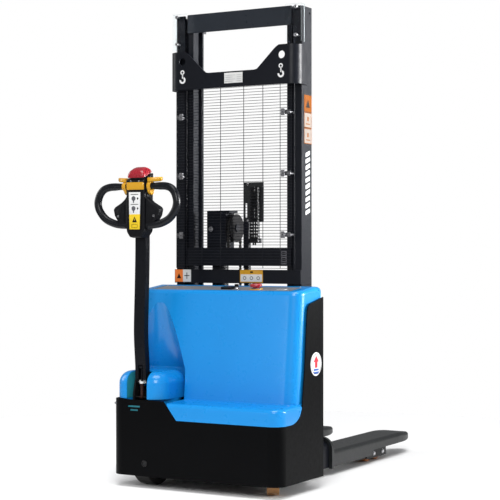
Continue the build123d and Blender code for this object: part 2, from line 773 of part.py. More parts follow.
def make_handle_loops(head):
    parts = []
    for side in (-1, 1):
        path = [
            (84, 15, HEAD_Z), (140, 12, HEAD_Z - 2), (179, 9, HEAD_Z - 20), (195.5, 7, HEAD_Z - 62),
            (184, 8, HEAD_Z - 104), (149, 11, 1103), (106, 14, 1087), (56, 15, 1083),
        ]
        pts = [(STEER_X + side * x, y, z) for x, y, z in path]
        wire = Spline(*pts, tangents=[(side, 0, 0), (-side, 0, -0.03)])
        ring = Plane(origin=pts[0], z_dir=(side, 0, 0)) * Circle(GRIP_R)
        loop = sweep(ring, path=wire)
        x0 = STEER_X + side * 51
        x1 = STEER_X + side * 86
        loop += rod_x(min(x0, x1), max(x0, x1), HEAD_Y, HEAD_Z, TUBE_R)
        parts.append(max((loop - head).solids(), key=lambda s: s.volume))
    return group(parts)


def make_throttle():
    parts = []
    for side in (-1, 1):
        sleeve = rod_x(52.5, 70, HEAD_Y, HEAD_Z, 18.5)
        lobe = [
            (5, 1262), (1, 1243), (5, 1228), (14, 1213), (24, 1207), (33, 1210), (38, 1221),
            (38, 1241), (33, 1262),
        ]
        hub = sleeve + outline_yz(lobe, 52.5, 65)
        plan = [(52.5, 2), (70, 0), (90, 14), (108, 28), (107, 41), (92, 36), (72, 30), (52.5, 29)]
        face = [
            (52.5, 1278), (75, 1278), (106, 1281), (109, 1276), (107, 1266), (96, 1262), (86, 1260.8),
            (70, 1260), (52.5, 1258),
        ]
        hub += outline_xy(plan, 1250, 1290) & outline_xz(face, -10, 50)
        hub -= rod_x(40, 82, HEAD_Y, HEAD_Z, TUBE_R + RUN)
        if side < 0:
            hub = mirror(hub, about=Plane.YZ)
        parts.append(Pos(STEER_X, 0, 0) * hub)
    return group(parts)


def make_belly_button():
    cap = belly_form(0, 0) - belly_form(3.5, 0)
    return cap & above_belly_plane(0)


def make_horn_button():
    return rod_y(STEER_X, 46, 58, 1200, 9)


def make_lift_rocker():
    rocker = block(STEER_X - 15, STEER_X + 15, 48, 60, 1144, 1176)
    return fillet(rocker.edges().group_by(Axis.Y)[-1], 3)


# ---------------- caster ----------------
def caster_angle():
    return math.degrees(math.atan2(0.4954, 0.8687))


def caster_place():
    return Pos(CASTER_X, CASTER_Y, 0) * Rot(0, 0, caster_angle())


def make_caster_fork():
    crown = Cylinder(38, 12)
    crown = Pos(0, 0, 150) * crown
    crown -= Pos(0, 0, 150) * Cylinder(12 + RUN, 20)
    crown += Pos(0, -18, 144) * (Box(76, 44, 8) - Pos(0, 18, 0) * Cylinder(14, 10))
    fork = crown
    for x in (-38, 30):
        leg = outline_yz([(-2, 146), (-36, 146), (-48, 66), (-40, 54), (-20, 54), (-12, 66)], x, x + 8)
        fork += leg
    fork += rod_x(-31, 31, -30, CASTER_R, 6)
    return caster_place() * fork


def make_caster_wheel():
    wheel = rod_x(-CASTER_W / 2, CASTER_W / 2, -30, CASTER_R, CASTER_R)
    wheel = fillet(wheel.edges(), 5)
    wheel -= rod_x(-60, 60, -30, CASTER_R, 6 + RUN)
    return caster_place() * wheel


# ---------------- export ----------------
save(make_skirt(), "skirt_panel")
save(make_hood(), "hood_cover")
save(make_instrument_panel(), "instrument_panel")
save(make_display_pod(), "display_pod")
save(make_estop(), "estop_button")
save(make_key(), "key")
save(make_chassis_frame(), "chassis_frame")
save(make_battery(), "battery")
save(make_hydraulic_unit(), "hydraulic_unit")
save(make_controller(), "drive_controller")
save(make_leg(-1), "leg_left")
save(make_leg(1), "leg_right")
save(make_load_roller(-1, ROLLER_YS[0]), "load_roller_left_rear")
save(make_load_roller(-1, ROLLER_YS[1]), "load_roller_left_front")
save(make_load_roller(1, ROLLER_YS[0]), "load_roller_right_rear")
save(make_load_roller(1, ROLLER_YS[1]), "load_roller_right_front")
save(make_bright_fasteners(), "bright_fasteners")
save(outer_rail(-1), "mast_rail_outer_left")
save(outer_rail(1), "mast_rail_outer_right")
save(make_mast_foot(), "mast_foot")
save(make_low_bar(), "mast_low_bar")
save(make_crane_plate(), "crane_plate")
save(make_mesh_guard(), "mesh_guard")
save(group([make_top_guard(-1), make_top_guard(1)]), "top_guards")
save(make_label_plates(), "label_plates")
save(make_cylinder_tubes(), "lift_cylinder_tubes")
save(make_hose_guide(), "hose_guide")
save(inner_rail(-1), "mast_rail_inner_left")
save(inner_rail(1), "mast_rail_inner_right")
save(make_inner_bar(1919, 1998), "inner_top_bar")
save(make_inner_mid_bar(), "inner_mid_bar")
save(make_inner_bottom_bar(), "inner_bottom_bar")
save(make_cylinder_rods(), "lift_cylinder_rods")
save(make_free_lift_tube(), "free_lift_tube")
save(make_crosshead(), "crosshead")
save(make_free_lift_rod(), "free_lift_rod")
save(make_chain_wrap(), "chain_wrap")
save(make_sheave(), "chain_sheave")
save(make_chain_run(SHEAVE_Y - CHAIN_R, 964), "lift_chain_front")
save(make_chain_run(SHEAVE_Y + CHAIN_R, 248), "lift_chain_rear")
save(make_carriage(), "carriage_frame")
save(make_fork(-1), "fork_left")
save(make_fork(1), "fork_right")
save(make_dome(), "drive_dome")
save(make_drive_gearbox(), "drive_gearbox")
save(make_drive_wheel(), "drive_wheel")
save(make_traction_motor(), "traction_motor")
save(make_tiller_pivot(), "tiller_pivot")
save(make_gas_tube(), "gas_spring_tube")
save(make_gas_rod(), "gas_spring_rod")
HEAD = make_tiller_head()
save(make_tiller_arm(), "tiller_arm")
save(HEAD, "tiller_head")
save(make_handle_loops(HEAD), "handle_loops")
save(make_throttle(), "throttle_paddles")
save(make_belly_button(), "belly_button")
save(make_horn_button(), "horn_button")
save(make_lift_rocker(), "lift_rocker")
save(make_caster_fork(), "caster_fork")
save(make_caster_wheel(), "caster_wheel")
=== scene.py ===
import json
import math

import bmesh
import bpy
from mathutils import Matrix, Vector


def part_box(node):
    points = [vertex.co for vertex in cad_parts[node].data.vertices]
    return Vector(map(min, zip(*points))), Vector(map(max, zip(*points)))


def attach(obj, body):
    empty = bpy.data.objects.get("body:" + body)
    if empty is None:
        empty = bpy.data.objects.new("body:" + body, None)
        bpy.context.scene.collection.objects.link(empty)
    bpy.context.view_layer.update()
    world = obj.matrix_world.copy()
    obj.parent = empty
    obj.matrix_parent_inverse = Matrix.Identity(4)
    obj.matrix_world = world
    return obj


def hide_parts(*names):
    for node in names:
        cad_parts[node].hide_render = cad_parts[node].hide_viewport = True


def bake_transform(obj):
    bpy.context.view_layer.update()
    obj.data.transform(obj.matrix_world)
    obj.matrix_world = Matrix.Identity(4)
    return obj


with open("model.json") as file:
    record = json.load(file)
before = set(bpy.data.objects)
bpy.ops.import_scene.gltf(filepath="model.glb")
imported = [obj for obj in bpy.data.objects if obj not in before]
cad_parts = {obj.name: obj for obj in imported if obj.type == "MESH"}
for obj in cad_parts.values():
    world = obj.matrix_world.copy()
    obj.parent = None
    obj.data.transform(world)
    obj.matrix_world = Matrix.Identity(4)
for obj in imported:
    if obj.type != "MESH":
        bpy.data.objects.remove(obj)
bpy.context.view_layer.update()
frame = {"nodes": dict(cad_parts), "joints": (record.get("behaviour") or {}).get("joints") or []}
NODES = frame["nodes"]

# ---------------------------------------------------------------- measures (metres)
JOINTS = {j["name"]: j for j in frame["joints"]}
STEER = Vector(JOINTS["steer"]["pos_m"])
WHEEL = Vector(JOINTS["drive_roll"]["pos_m"])
GRIP = Vector(JOINTS["throttle_twist"]["pos_m"])
CASTER = Vector(JOINTS["caster_roll"]["pos_m"])
CASTER_AXLE = Vector(JOINTS["caster_roll"]["axis"])
SHEAVE = Vector(JOINTS["sheave_turn"]["pos_m"])
KEY = Vector(JOINTS["key_turn"]["pos_m"])
TILT = math.atan2(-JOINTS["key_turn"]["axis"][1], JOINTS["key_turn"]["axis"][2])
TX = STEER.x
CHAIN_R = 0.050
GUARD_FOOT = 0.903 + 0.0015
GUARD_PITCH = 0.761 / 63


# ---------------------------------------------------------------- materials
def noise_node(tree, coord, scale, detail=4.0, stretch=None):
    node = tree.nodes.new("ShaderNodeTexNoise")
    node.inputs["Scale"].default_value = scale
    node.inputs["Detail"].default_value = detail
    node.inputs["Roughness"].default_value = 0.6
    source = coord.outputs["Object"]
    if stretch:
        mapping = tree.nodes.new("ShaderNodeMapping")
        mapping.inputs["Scale"].default_value = stretch
        tree.links.new(source, mapping.inputs["Vector"])
        source = mapping.outputs["Vector"]
    tree.links.new(source, node.inputs["Vector"])
    return node


def map_range(tree, source, low, high, from_low=0.3, from_high=0.7):
    node = tree.nodes.new("ShaderNodeMapRange")
    node.inputs["From Min"].default_value = from_low
    node.inputs["From Max"].default_value = from_high
    node.inputs["To Min"].default_value = low
    node.inputs["To Max"].default_value = high
    tree.links.new(source, node.inputs["Value"])
    return node.outputs["Result"]


def mix_colour(tree, factor, a, b):
    node = tree.nodes.new("ShaderNodeMix")
    node.data_type = "RGBA"
    tree.links.new(factor, node.inputs["Factor"])
    for socket, value in ((node.inputs["A"], a), (node.inputs["B"], b)):
        if isinstance(value, tuple):
            socket.default_value = (*value, 1.0)
        else:
            tree.links.new(value, socket)
    return node.outputs["Result"]


def material(name, colour, rough, metallic=0.0, coat=0.0, vary=0.10, rough_vary=0.08, blotch=7.0,
             grain=900.0, bump=0.05, bump_depth=0.0004, scuff=None, scuff_amount=0.0,
             scuff_stretch=(6, 6, 160), spec=0.5):
    mat = bpy.data.materials.new(name)
    mat.use_nodes = True
    tree = mat.node_tree
    shader = tree.nodes["Principled BSDF"]
    coord = tree.nodes.new("ShaderNodeTexCoord")
    shader.inputs["Metallic"].default_value = metallic
    shader.inputs["Specular IOR Level"].default_value = spec
    shader.inputs["Coat Weight"].default_value = coat
    shader.inputs["Coat Roughness"].default_value = 0.06
    broad = noise_node(tree, coord, blotch, 5.0)
    dark = tuple(c * (1 - vary) for c in colour)
    light = tuple(min(1.0, c * (1 + vary)) for c in colour)
    tint = mix_colour(tree, map_range(tree, broad.outputs["Fac"], 0, 1), dark, light)
    middle = noise_node(tree, coord, blotch * 9, 6.0)
    roughness = map_range(tree, middle.outputs["Fac"], rough - rough_vary, rough + rough_vary)
    if scuff:
        streak = noise_node(tree, coord, 5.0, 8.0, stretch=scuff_stretch)
        mask = map_range(tree, streak.outputs["Fac"], 0, scuff_amount, 0.62, 0.72)
        tint = mix_colour(tree, mask, tint, scuff)
    tree.links.new(tint, shader.inputs["Base Color"])
    tree.links.new(roughness, shader.inputs["Roughness"])
    fine = noise_node(tree, coord, grain, 3.0)
    bumper = tree.nodes.new("ShaderNodeBump")
    bumper.inputs["Strength"].default_value = bump
    bumper.inputs["Distance"].default_value = bump_depth
    tree.links.new(fine.outputs["Fac"], bumper.inputs["Height"])
    tree.links.new(bumper.outputs["Normal"], shader.inputs["Normal"])
    return mat


def printed(name, colour, rough, vary=0.05, spec=0.3):
    return material(name, colour, rough, vary=vary, spec=spec)


def clear_material(name):
    mat = material(name, (0.97, 0.985, 0.99), 0.04, vary=0.01, rough_vary=0.02, bump=0.01)
    shader = mat.node_tree.nodes["Principled BSDF"]
    shader.inputs["Transmission Weight"].default_value = 1.0
    shader.inputs["IOR"].default_value = 1.06
    return mat


M = {
    "blue": material("hood_blue", (0.0055, 0.245, 0.65), 0.28, coat=0.30, vary=0.03, rough_vary=0.012,
                     blotch=3.0, grain=420, bump=0.008, spec=0.3),
    "skirt": material("skirt_powder", (0.0016, 0.0017, 0.0021), 0.40, vary=0.12, grain=1400, bump=0.14,
                      scuff=(0.008, 0.008, 0.009), scuff_amount=0.18, scuff_stretch=(5, 5, 40), spec=0.05),
    "mast": material("mast_paint", (0.0056, 0.0066, 0.0100), 0.36, vary=0.12, grain=1200, bump=0.10,
                     scuff=(0.017, 0.018, 0.021), scuff_amount=0.22, scuff_stretch=(60, 60, 2), spec=0.13),
    "frame": material("frame_paint", (0.006, 0.006, 0.007), 0.5, grain=1000, bump=0.15, spec=0.2),
    "fork": material("fork_paint", (0.0115, 0.0130, 0.0138), 0.40, vary=0.08, rough_vary=0.04, grain=1300,
                     bump=0.04, scuff=(0.022, 0.022, 0.022), scuff_amount=0.25, scuff_stretch=(50, 2, 50),
                     spec=0.4),
    "leg": material("leg_paint", (0.0065, 0.0068, 0.0075), 0.40, grain=1300, bump=0.12,
                    scuff=(0.02, 0.02, 0.02), scuff_amount=0.3, scuff_stretch=(50, 2, 50), spec=0.15),
    "arm": material("arm_paint", (0.0052, 0.0058, 0.0080), 0.34, grain=1300, bump=0.10, spec=0.12),
    "grip": material("grip_rubber", (0.0042, 0.0050, 0.0072), 0.32, grain=2200, bump=0.12, spec=0.24),
    "shell": material("head_plastic", (0.0042, 0.0045, 0.0060), 0.44, grain=2600, bump=0.20, spec=0.14),
    "panel": material("panel_plastic", (0.17, 0.175, 0.19), 0.55, vary=0.06, grain=2400, bump=0.3,
                      spec=0.35),
    "black": material("black_plastic", (0.006, 0.006, 0.007), 0.33, grain=1800, bump=0.15, spec=0.25),
    "screen": material("screen_glass", (0.030, 0.060, 0.110), 0.08, coat=0.6, bump=0.01, rough_vary=0.02),
    "red": material("red_plastic", (0.33, 0.009, 0.020), 0.28, coat=0.2, vary=0.06),
    "yellow": material("yellow_plastic", (0.62, 0.31, 0.010), 0.38, coat=0.1, vary=0.05, grain=1600,
                       bump=0.12, spec=0.4),
    "orange": printed("orange_print", (0.83, 0.20, 0.03), 0.45),
    "pale": printed("pale_print", (0.66, 0.66, 0.65), 0.45, 0.04),
    "white": printed("white_print", (0.76, 0.76, 0.76), 0.42, 0.04),
    # Darkened copies of the orange and white prints for the labels on the mast's +X side: painted shade.
    "orange_print_painted_shade": printed("orange_print_painted_shade", (0.185, 0.054, 0.006), 0.6, spec=0.05),
    "white_print_painted_shade": printed("white_print_painted_shade", (0.225, 0.195, 0.170), 0.6, 0.04, spec=0.05),
    "sign": printed("sign_yellow", (0.78, 0.54, 0.016), 0.42, 0.04),
    "grey_print": printed("grey_print", (0.10, 0.10, 0.115), 0.45, 0.06),
    # A lighter, bluer copy of the mast black for the inner top bar: painted sheen.
    "bar": material("upper_bar_painted_sheen", (0.017, 0.021, 0.028), 0.34, vary=0.12, grain=1200, bump=0.10,
                    spec=0.22),
    "spring_dark": material("spring_tube_dark", (0.050, 0.020, 0.016), 0.20, metallic=0.6),
    "ink": printed("dark_print", (0.008, 0.008, 0.009), 0.6, spec=0.08),
    "pu": material("orange_polyurethane", (0.40, 0.14, 0.035), 0.42, vary=0.16, blotch=30, grain=700,
                   bump=0.25, scuff=(0.20, 0.12, 0.07), scuff_amount=0.5),
    "caster_pu": material("caster_polyurethane", (0.33, 0.16, 0.055), 0.42, vary=0.18, blotch=30,
                          grain=700, bump=0.25, scuff=(0.18, 0.12, 0.07), scuff_amount=0.5),
    "tread": material("black_polyurethane", (0.010, 0.010, 0.010), 0.55, vary=0.25, blotch=40,
                      grain=800, bump=0.35, scuff=(0.04, 0.038, 0.034), scuff_amount=0.5, spec=0.35),
    "steel": material("zinc_steel", (0.62, 0.62, 0.64), 0.28, metallic=1.0, vary=0.08, blotch=60,
                      grain=1500, bump=0.08),
    "satin_steel": material("satin_steel", (0.42, 0.42, 0.44), 0.36, metallic=1.0, blotch=40,
                            grain=1500, bump=0.10),
    "blue_print": printed("blue_print", (0.02, 0.10, 0.42), 0.4),
    "red_print": printed("red_print", (0.55, 0.02, 0.04), 0.4),
    # Opaque light grey for the clear sheets' edges and tops: painted highlight.
    "edge_highlight": material("painted_edge_highlight", (0.72, 0.78, 0.80), 0.22, vary=0.05, bump=0.03),
    "chrome": material("chrome_rod", (0.75, 0.75, 0.78), 0.09, metallic=1.0, vary=0.03,
                       rough_vary=0.03, bump=0.02),
    "chain": material("oiled_chain", (0.055, 0.053, 0.050), 0.38, metallic=0.8, vary=0.25, blotch=90,
                      grain=1500, bump=0.2),
    "iron": material("cast_iron", (0.020, 0.020, 0.022), 0.55, metallic=0.3, vary=0.15, blotch=25,
                     grain=500, bump=0.35),
    "sheave": material("sheave_black", (0.006, 0.006, 0.007), 0.55, vary=0.15, blotch=25, grain=500,
                       bump=0.3, spec=0.08),
    "dull": material("dull_zinc", (0.17, 0.17, 0.18), 0.5, metallic=0.7, blotch=60, grain=1500,
                     bump=0.10),
    "battery": material("battery_case", (0.02, 0.02, 0.022), 0.55, grain=900, bump=0.25, spec=0.35),
    "alloy": material("cast_alloy", (0.42, 0.42, 0.44), 0.45, metallic=0.9, grain=700, bump=0.25),
    # Teal serves the display's small keys and, as painted shade, the sheets on the dome slot's inner walls.
    "teal_and_painted_shade": material("teal_plastic_and_painted_slot_shade", (0.02, 0.26, 0.33), 0.45, vary=0.08, bump=0.1),
    "clear": clear_material("clear_polycarbonate"),
}


# ---------------------------------------------------------------- mesh building
def merged(bm, part, slot=0, place=None):
    for face in part.faces:
        face.material_index = slot
    if place is not None:
        bmesh.ops.transform(part, matrix=place, verts=part.verts)
    mesh = bpy.data.meshes.new("part")
    part.to_mesh(mesh)
    part.free()
    bm.from_mesh(mesh)
    bpy.data.meshes.remove(mesh)


def soften(part, width, segments=2, limit=0.35):
    if width <= 0:
        return
    edges = [e for e in part.edges if len(e.link_faces) == 2 and e.calc_face_angle(0) > limit]
    bmesh.ops.bevel(part, geom=edges, offset=width, segments=segments, profile=0.5,
                    affect="EDGES", clamp_overlap=True)


def add_box(bm, low, high, bevel=0.001, slot=0, place=None, segments=2):
    part = bmesh.new()
    bmesh.ops.create_cube(part, size=1.0)
    low, high = Vector(low), Vector(high)
    for v in part.verts:
        v.co = Vector((low[i] + (v.co[i] + 0.5) * (high[i] - low[i]) for i in range(3)))
    soften(part, bevel, segments)
    merged(bm, part, slot, place)


def add_prism(bm, outline, axis, a, b, bevel=0.001, slot=0, place=None, segments=2, limit=0.35):
    """A polygon of (u, v) points pushed along an axis: x takes (y, z), y takes (x, z), z takes (x, y)."""
    def point(u, v, w):
        return {"x": (w, u, v), "y": (u, w, v), "z": (u, v, w)}[axis]
    part = bmesh.new()
    rings = [[part.verts.new(point(u, v, w)) for u, v in outline] for w in (a, b)]
    n = len(outline)
    part.faces.new(rings[0])
    part.faces.new(list(reversed(rings[1])))
    for i in range(n):
        j = (i + 1) % n
        part.faces.new((rings[0][j], rings[0][i], rings[1][i], rings[1][j]))
    bmesh.ops.recalc_face_normals(part, faces=part.faces)
    soften(part, bevel, segments, limit)
    merged(bm, part, slot, place)


def add_lathe(bm, profile, place, slot=0, segments=48):
    """Revolves (radius, height) pairs about local Z; the profile closes on itself or on the axis."""
    part = bmesh.new()
    rings = []
    for r, h in profile:
        if r < 1e-6:
            rings.append([part.verts.new((0, 0, h))] * segments)
        else:
            rings.append([part.verts.new((r * math.cos(2 * math.pi * i / segments),
                                          r * math.sin(2 * math.pi * i / segments), h))
                          for i in range(segments)])
    pairs = list(zip(rings[:-1], rings[1:]))
    if profile[0][0] > 1e-6 and profile[-1][0] > 1e-6:
        pairs.append((rings[-1], rings[0]))
    for lower, upper in pairs:
        for i in range(segments):
            j = (i + 1) % segments
            corners = []
            for v in (lower[i], lower[j], upper[j], upper[i]):
                if v not in corners:
                    corners.append(v)
            if len(corners) > 2:
                part.faces.new(corners)
    bmesh.ops.recalc_face_normals(part, faces=part.faces)
    merged(bm, part, slot, place)


def rounded_profile(pairs, radius, steps=3):
    """Rounds every corner of a closed (r, h) outline."""
    out = []
    n = len(pairs)
    for i in range(n):
        before, here, after = (Vector(pairs[(i + k) % n]) for k in (-1, 0, 1))
        a, b = before - here, after - here
        cut = min(radius, a.length / 2.2, b.length / 2.2)
        start, end = here + a.normalized() * cut, here + b.normalized() * cut
        for k in range(steps + 1):
            t = k / steps
            p = start * (1 - t) ** 2 + here * 2 * t * (1 - t) + end * t ** 2
            out.append((p.x, p.y))
    return out


def along(origin, direction):
    """Local Z laid along a direction, from an origin."""
    quat = Vector((0, 0, 1)).rotation_difference(Vector(direction).normalized())
    return Matrix.Translation(origin) @ quat.to_matrix().to_4x4()


def add_disc(bm, origin, direction, radius, height, bevel=0.0006, slot=0, segments=32):
    profile = [(0, 0), (radius, 0), (radius, height - bevel), (radius - bevel, height), (0, height)]
    add_lathe(bm, profile, along(origin, direction), slot, segments)


def add_tube(bm, points, radius, slot=0, sides=16):
    """A round tube along a list of points; the radius is a number or one number a point."""
    points = [Vector(p) for p in points]
    part = bmesh.new()
    rings = []
    normal = None
    for i, p in enumerate(points):
        tangent = (points[min(i + 1, len(points) - 1)] - points[max(i - 1, 0)]).normalized()
        if normal is None:
            normal = tangent.orthogonal().normalized()
        normal = (normal - tangent * normal.dot(tangent)).normalized()
        side = tangent.cross(normal)
        r = radius[i] if isinstance(radius, list) else radius
        rings.append([part.verts.new(p + r * (math.cos(a) * normal + math.sin(a) * side))
                      for a in (2 * math.pi * k / sides for k in range(sides))])
    for lower, upper in zip(rings[:-1], rings[1:]):
        for k in range(sides):
            m = (k + 1) % sides
            part.faces.new((lower[k], lower[m], upper[m], upper[k]))
    part.faces.new(list(reversed(rings[0])))
    part.faces.new(rings[-1])
    bmesh.ops.recalc_face_normals(part, faces=part.faces)
    merged(bm, part, slot)


def smooth_path(points, steps=8):
    """Catmull-Rom points through a coarse path."""
    pts = [Vector(p) for p in points]
    pts = [pts[0] * 2 - pts[1]] + pts + [pts[-1] * 2 - pts[-2]]
    out = []
    for a, b, c, d in zip(pts[:-3], pts[1:-2], pts[2:-1], pts[3:]):
        for k in range(steps):
            t = k / steps
            out.append(0.5 * (2 * b + (c - a) * t + (2 * a - 5 * b + 4 * c - d) * t * t
                              + (3 * b - a - 3 * c + d) * t ** 3))
    return out + [pts[-2]]


def add_strip(bm, centre, radius, width, start, end, thick, y, slot=0, steps=24):
    """A flat arc band in the XZ plane, facing -Y, for printed shapes."""
    part = bmesh.new()
    ring = []
    for k in range(steps + 1):
        a = math.radians(start + (end - start) * k / steps)
        ring.append([(centre[0] + (radius + w) * math.cos(a), centre[1] + (radius + w) * math.sin(a))
                     for w in (-width / 2, width / 2)])
    rows = [[part.verts.new((x, depth, z)) for depth in (y, y - thick) for x, z in pair]
            for pair in ring]
    for a, b in zip(rows[:-1], rows[1:]):
        part.faces.new((a[2], a[3], b[3], b[2]))
        part.faces.new((a[0], b[0], b[1], a[1]))
        part.faces.new((a[0], a[2], b[2], b[0]))
        part.faces.new((a[1], b[1], b[3], a[3]))
    part.faces.new((rows[0][0], rows[0][1], rows[0][3], rows[0][2]))
    part.faces.new((rows[-1][0], rows[-1][2], rows[-1][3], rows[-1][1]))
    bmesh.ops.recalc_face_normals(part, faces=part.faces)
    merged(bm, part, slot)


def add_pillow(bm, rings, place, slot=0):
    """A soft cap: rounded rectangles (height, half x, half y, corner) joined smoothly, in place's frame."""
    levels = []
    padded = [rings[0], *rings, rings[-1]]
    for a, b, c, d in zip(padded, padded[1:], padded[2:], padded[3:]):
        for k in range(6):
            t = k / 6
            levels.append([0.5 * (2 * q + (r - p) * t + (2 * p - 5 * q + 4 * r - s) * t * t
                                  + (3 * q - p - 3 * r + s) * t ** 3) for p, q, r, s in zip(a, b, c, d)])
    levels.append(rings[-1])
    part = bmesh.new()
    loops = []
    for height, half_x, half_y, r in levels:
        loop = []
        for cx, cy, start in ((half_x - r, half_y - r, 0), (r - half_x, half_y - r, 90),
                              (r - half_x, r - half_y, 180), (half_x - r, r - half_y, 270)):
            for k in range(9):
                a = math.radians(start + 90 * k / 8)
                loop.append(part.verts.new((cx + r * math.cos(a), cy + r * math.sin(a), height)))
        loops.append(loop)
    for low, high in zip(loops[:-1], loops[1:]):
        for k in range(36):
            m = (k + 1) % 36
            part.faces.new((low[k], low[m], high[m], high[k]))
    part.faces.new(loops[0])
    top = part.verts.new((0, 0, levels[-1][0] + 0.0011))
    for k in range(36):
        part.faces.new((loops[-1][k], loops[-1][(k + 1) % 36], top))
    bmesh.ops.recalc_face_normals(part, faces=part.faces)
    merged(bm, part, slot, place)


def add_loft(bm, sections, bevel=0.002, slot=0):
    """Quads through rectangles standing across X: each is (x, y0, y1, z0, z1)."""
    part = bmesh.new()
    rings = [[part.verts.new((x, y, z)) for y, z in ((y0, z0), (y1, z0), (y1, z1), (y0, z1))]
             for x, y0, y1, z0, z1 in sections]
    for a, b in zip(rings[:-1], rings[1:]):
        for k in range(4):
            m = (k + 1) % 4
            part.faces.new((a[k], a[m], b[m], b[k]))
    part.faces.new(rings[0])
    part.faces.new(list(reversed(rings[-1])))
    bmesh.ops.recalc_face_normals(part, faces=part.faces)
    soften(part, bevel, 3, 0.5)
    merged(bm, part, slot)


def add_cam(bm, centre, inner, outline, x0, x1, bevel=0.002, slot=0, segments=64):
    """A ring across X whose outer radius follows (degrees, radius) pairs."""
    def radius(angle):
        for (a0, r0), (a1, r1) in zip(outline[:-1], outline[1:]):
            if a0 <= angle <= a1:
                t = (angle - a0) / (a1 - a0)
                t = t * t * (3 - 2 * t)
                return r0 + (r1 - r0) * t
        return outline[0][1]
    part = bmesh.new()
    rings = []
    for k in range(segments):
        degrees = -180 + 360 * k / segments
        c, n = math.cos(math.radians(degrees)), math.sin(math.radians(degrees))
        rings.append([part.verts.new((x, centre[0] + r * c, centre[1] + r * n))
                      for x, r in ((x0, inner), (x0, radius(degrees)), (x1, radius(degrees)), (x1, inner))])
    for k in range(segments):
        a, b = rings[k], rings[(k + 1) % segments]
        for i in range(4):
            j = (i + 1) % 4
            part.faces.new((a[i], a[j], b[j], b[i]))
    bmesh.ops.recalc_face_normals(part, faces=part.faces)
    soften(part, bevel, 3, 0.9)
    merged(bm, part, slot)


def finish_piece(name, bm, mats, body, replaces=(), smooth=32):
    mesh = bpy.data.meshes.new(name)
    bm.to_mesh(mesh)
    bm.free()
    for key in mats:
        mesh.materials.append(M[key])
    mesh.polygons.foreach_set("use_smooth", [True] * len(mesh.polygons))
    mesh.set_sharp_from_angle(angle=math.radians(smooth))
    piece = bpy.data.objects.new(name, mesh)
    bpy.context.scene.collection.objects.link(piece)
    if body:
        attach(piece, body)
    if replaces:
        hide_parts(*replaces)
    return piece


# ---------------------------------------------------------------- carried-over CAD nodes
CAD_FINISH = {
    "blue": ["hood_cover", "drive_dome"],
    "skirt": ["skirt_panel"],
    "mast": ["mast_rail_outer_left", "mast_rail_outer_right", "mast_foot", "mast_low_bar",
             "crane_plate", "mast_rail_inner_left", "mast_rail_inner_right", "inner_mid_bar",
             "inner_bottom_bar", "crosshead", "carriage_frame"],
    "frame": ["chassis_frame", "caster_fork", "tiller_pivot", "lift_cylinder_tubes",
              "free_lift_tube", "traction_motor", "hydraulic_unit"],
    "fork": ["fork_left", "fork_right"],
    "leg": ["leg_left", "leg_right"],
    "arm": ["tiller_arm", "gas_spring_rod"],
    "panel": ["instrument_panel"],
    "chrome": ["lift_cylinder_rods", "free_lift_rod"],
    # The inner top bar takes the lighter mast copy: painted sheen.
    "bar": ["inner_top_bar"],
    "spring_dark": ["gas_spring_tube"],
    "iron": ["drive_gearbox"],
    "sheave": ["chain_sheave"],
    "battery": ["battery"],
    "alloy": ["drive_controller"],
}
for finish, nodes in CAD_FINISH.items():
    for node in nodes:
        mesh = NODES[node].data
        mesh.materials.clear()
        mesh.materials.append(M[finish])
        mesh.polygons.foreach_set("use_smooth", [True] * len(mesh.polygons))
        mesh.set_sharp_from_angle(angle=math.radians(28))
        weights = NODES[node].modifiers.new("normals", "WEIGHTED_NORMAL")
        weights.keep_sharp = True


# ---------------------------------------------------------------- mesh guard
def make_mesh_guard():
    low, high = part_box("mesh_guard")
    curve = bpy.data.curves.new("mesh_guard_wires", "CURVE")
    curve.dimensions = "3D"
    curve.bevel_depth = 0.00105
    curve.bevel_resolution = 2
    uprights = (-0.2755, -0.224, -0.148, -0.055, 0.058, 0.150, 0.232, 0.2995)
    lines = [((x, low.y + 0.0012, low.z), (x, low.y + 0.0012, high.z), 1.35) for x in uprights]
    rows = 64
    for i in range(rows):
        z = low.z + 0.0015 + (high.z - low.z - 0.003) * i / (rows - 1)
        lines.append(((low.x + 0.001, high.y - 0.0012, z), (high.x - 0.001, high.y - 0.0012, z), 1.0))
    for a, b, scale in lines:
        spline = curve.splines.new("POLY")
        spline.points.add(1)
        for point, co in zip(spline.points, (a, b)):
            point.co = (*co, 1)
            point.radius = scale
    curve.materials.append(M["mast"])
    piece = bpy.data.objects.new("mesh_guard_wires", curve)
    bpy.context.scene.collection.objects.link(piece)
    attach(piece, "chassis")
    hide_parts("mesh_guard")


# ---------------------------------------------------------------- fasteners and clips
def add_screw(bm, at, direction, radius, height, recess="hex", slot=0, dark=1):
    frame_at = along(at, direction)
    inner = radius * 0.48
    profile = [(0, 0), (radius, 0), (radius, height * 0.55), (radius * 0.86, height),
               (inner, height), (inner, height * 0.4), (0, height * 0.4)]
    sides = 6 if recess == "bolt" else 32
    if recess == "bolt":
        profile = [(0, 0), (radius, 0), (radius, height * 0.86), (radius * 0.93, height), (0, height)]
    add_lathe(bm, profile, frame_at, slot, sides)
    if recess == "bolt":
        add_lathe(bm, [(0, -0.0002), (radius * 1.25, -0.0002), (radius * 1.25, height * 0.16),
                       (0, height * 0.16)], frame_at, slot, 28)
    else:
        # A dark hex disc on the recess floor: painted shade for the depth of the socket.
        add_disc(bm, frame_at @ Vector((0, 0, height * 0.3)), direction, inner * 0.98,
                 height * 0.12, 0.0001, dark, 6)


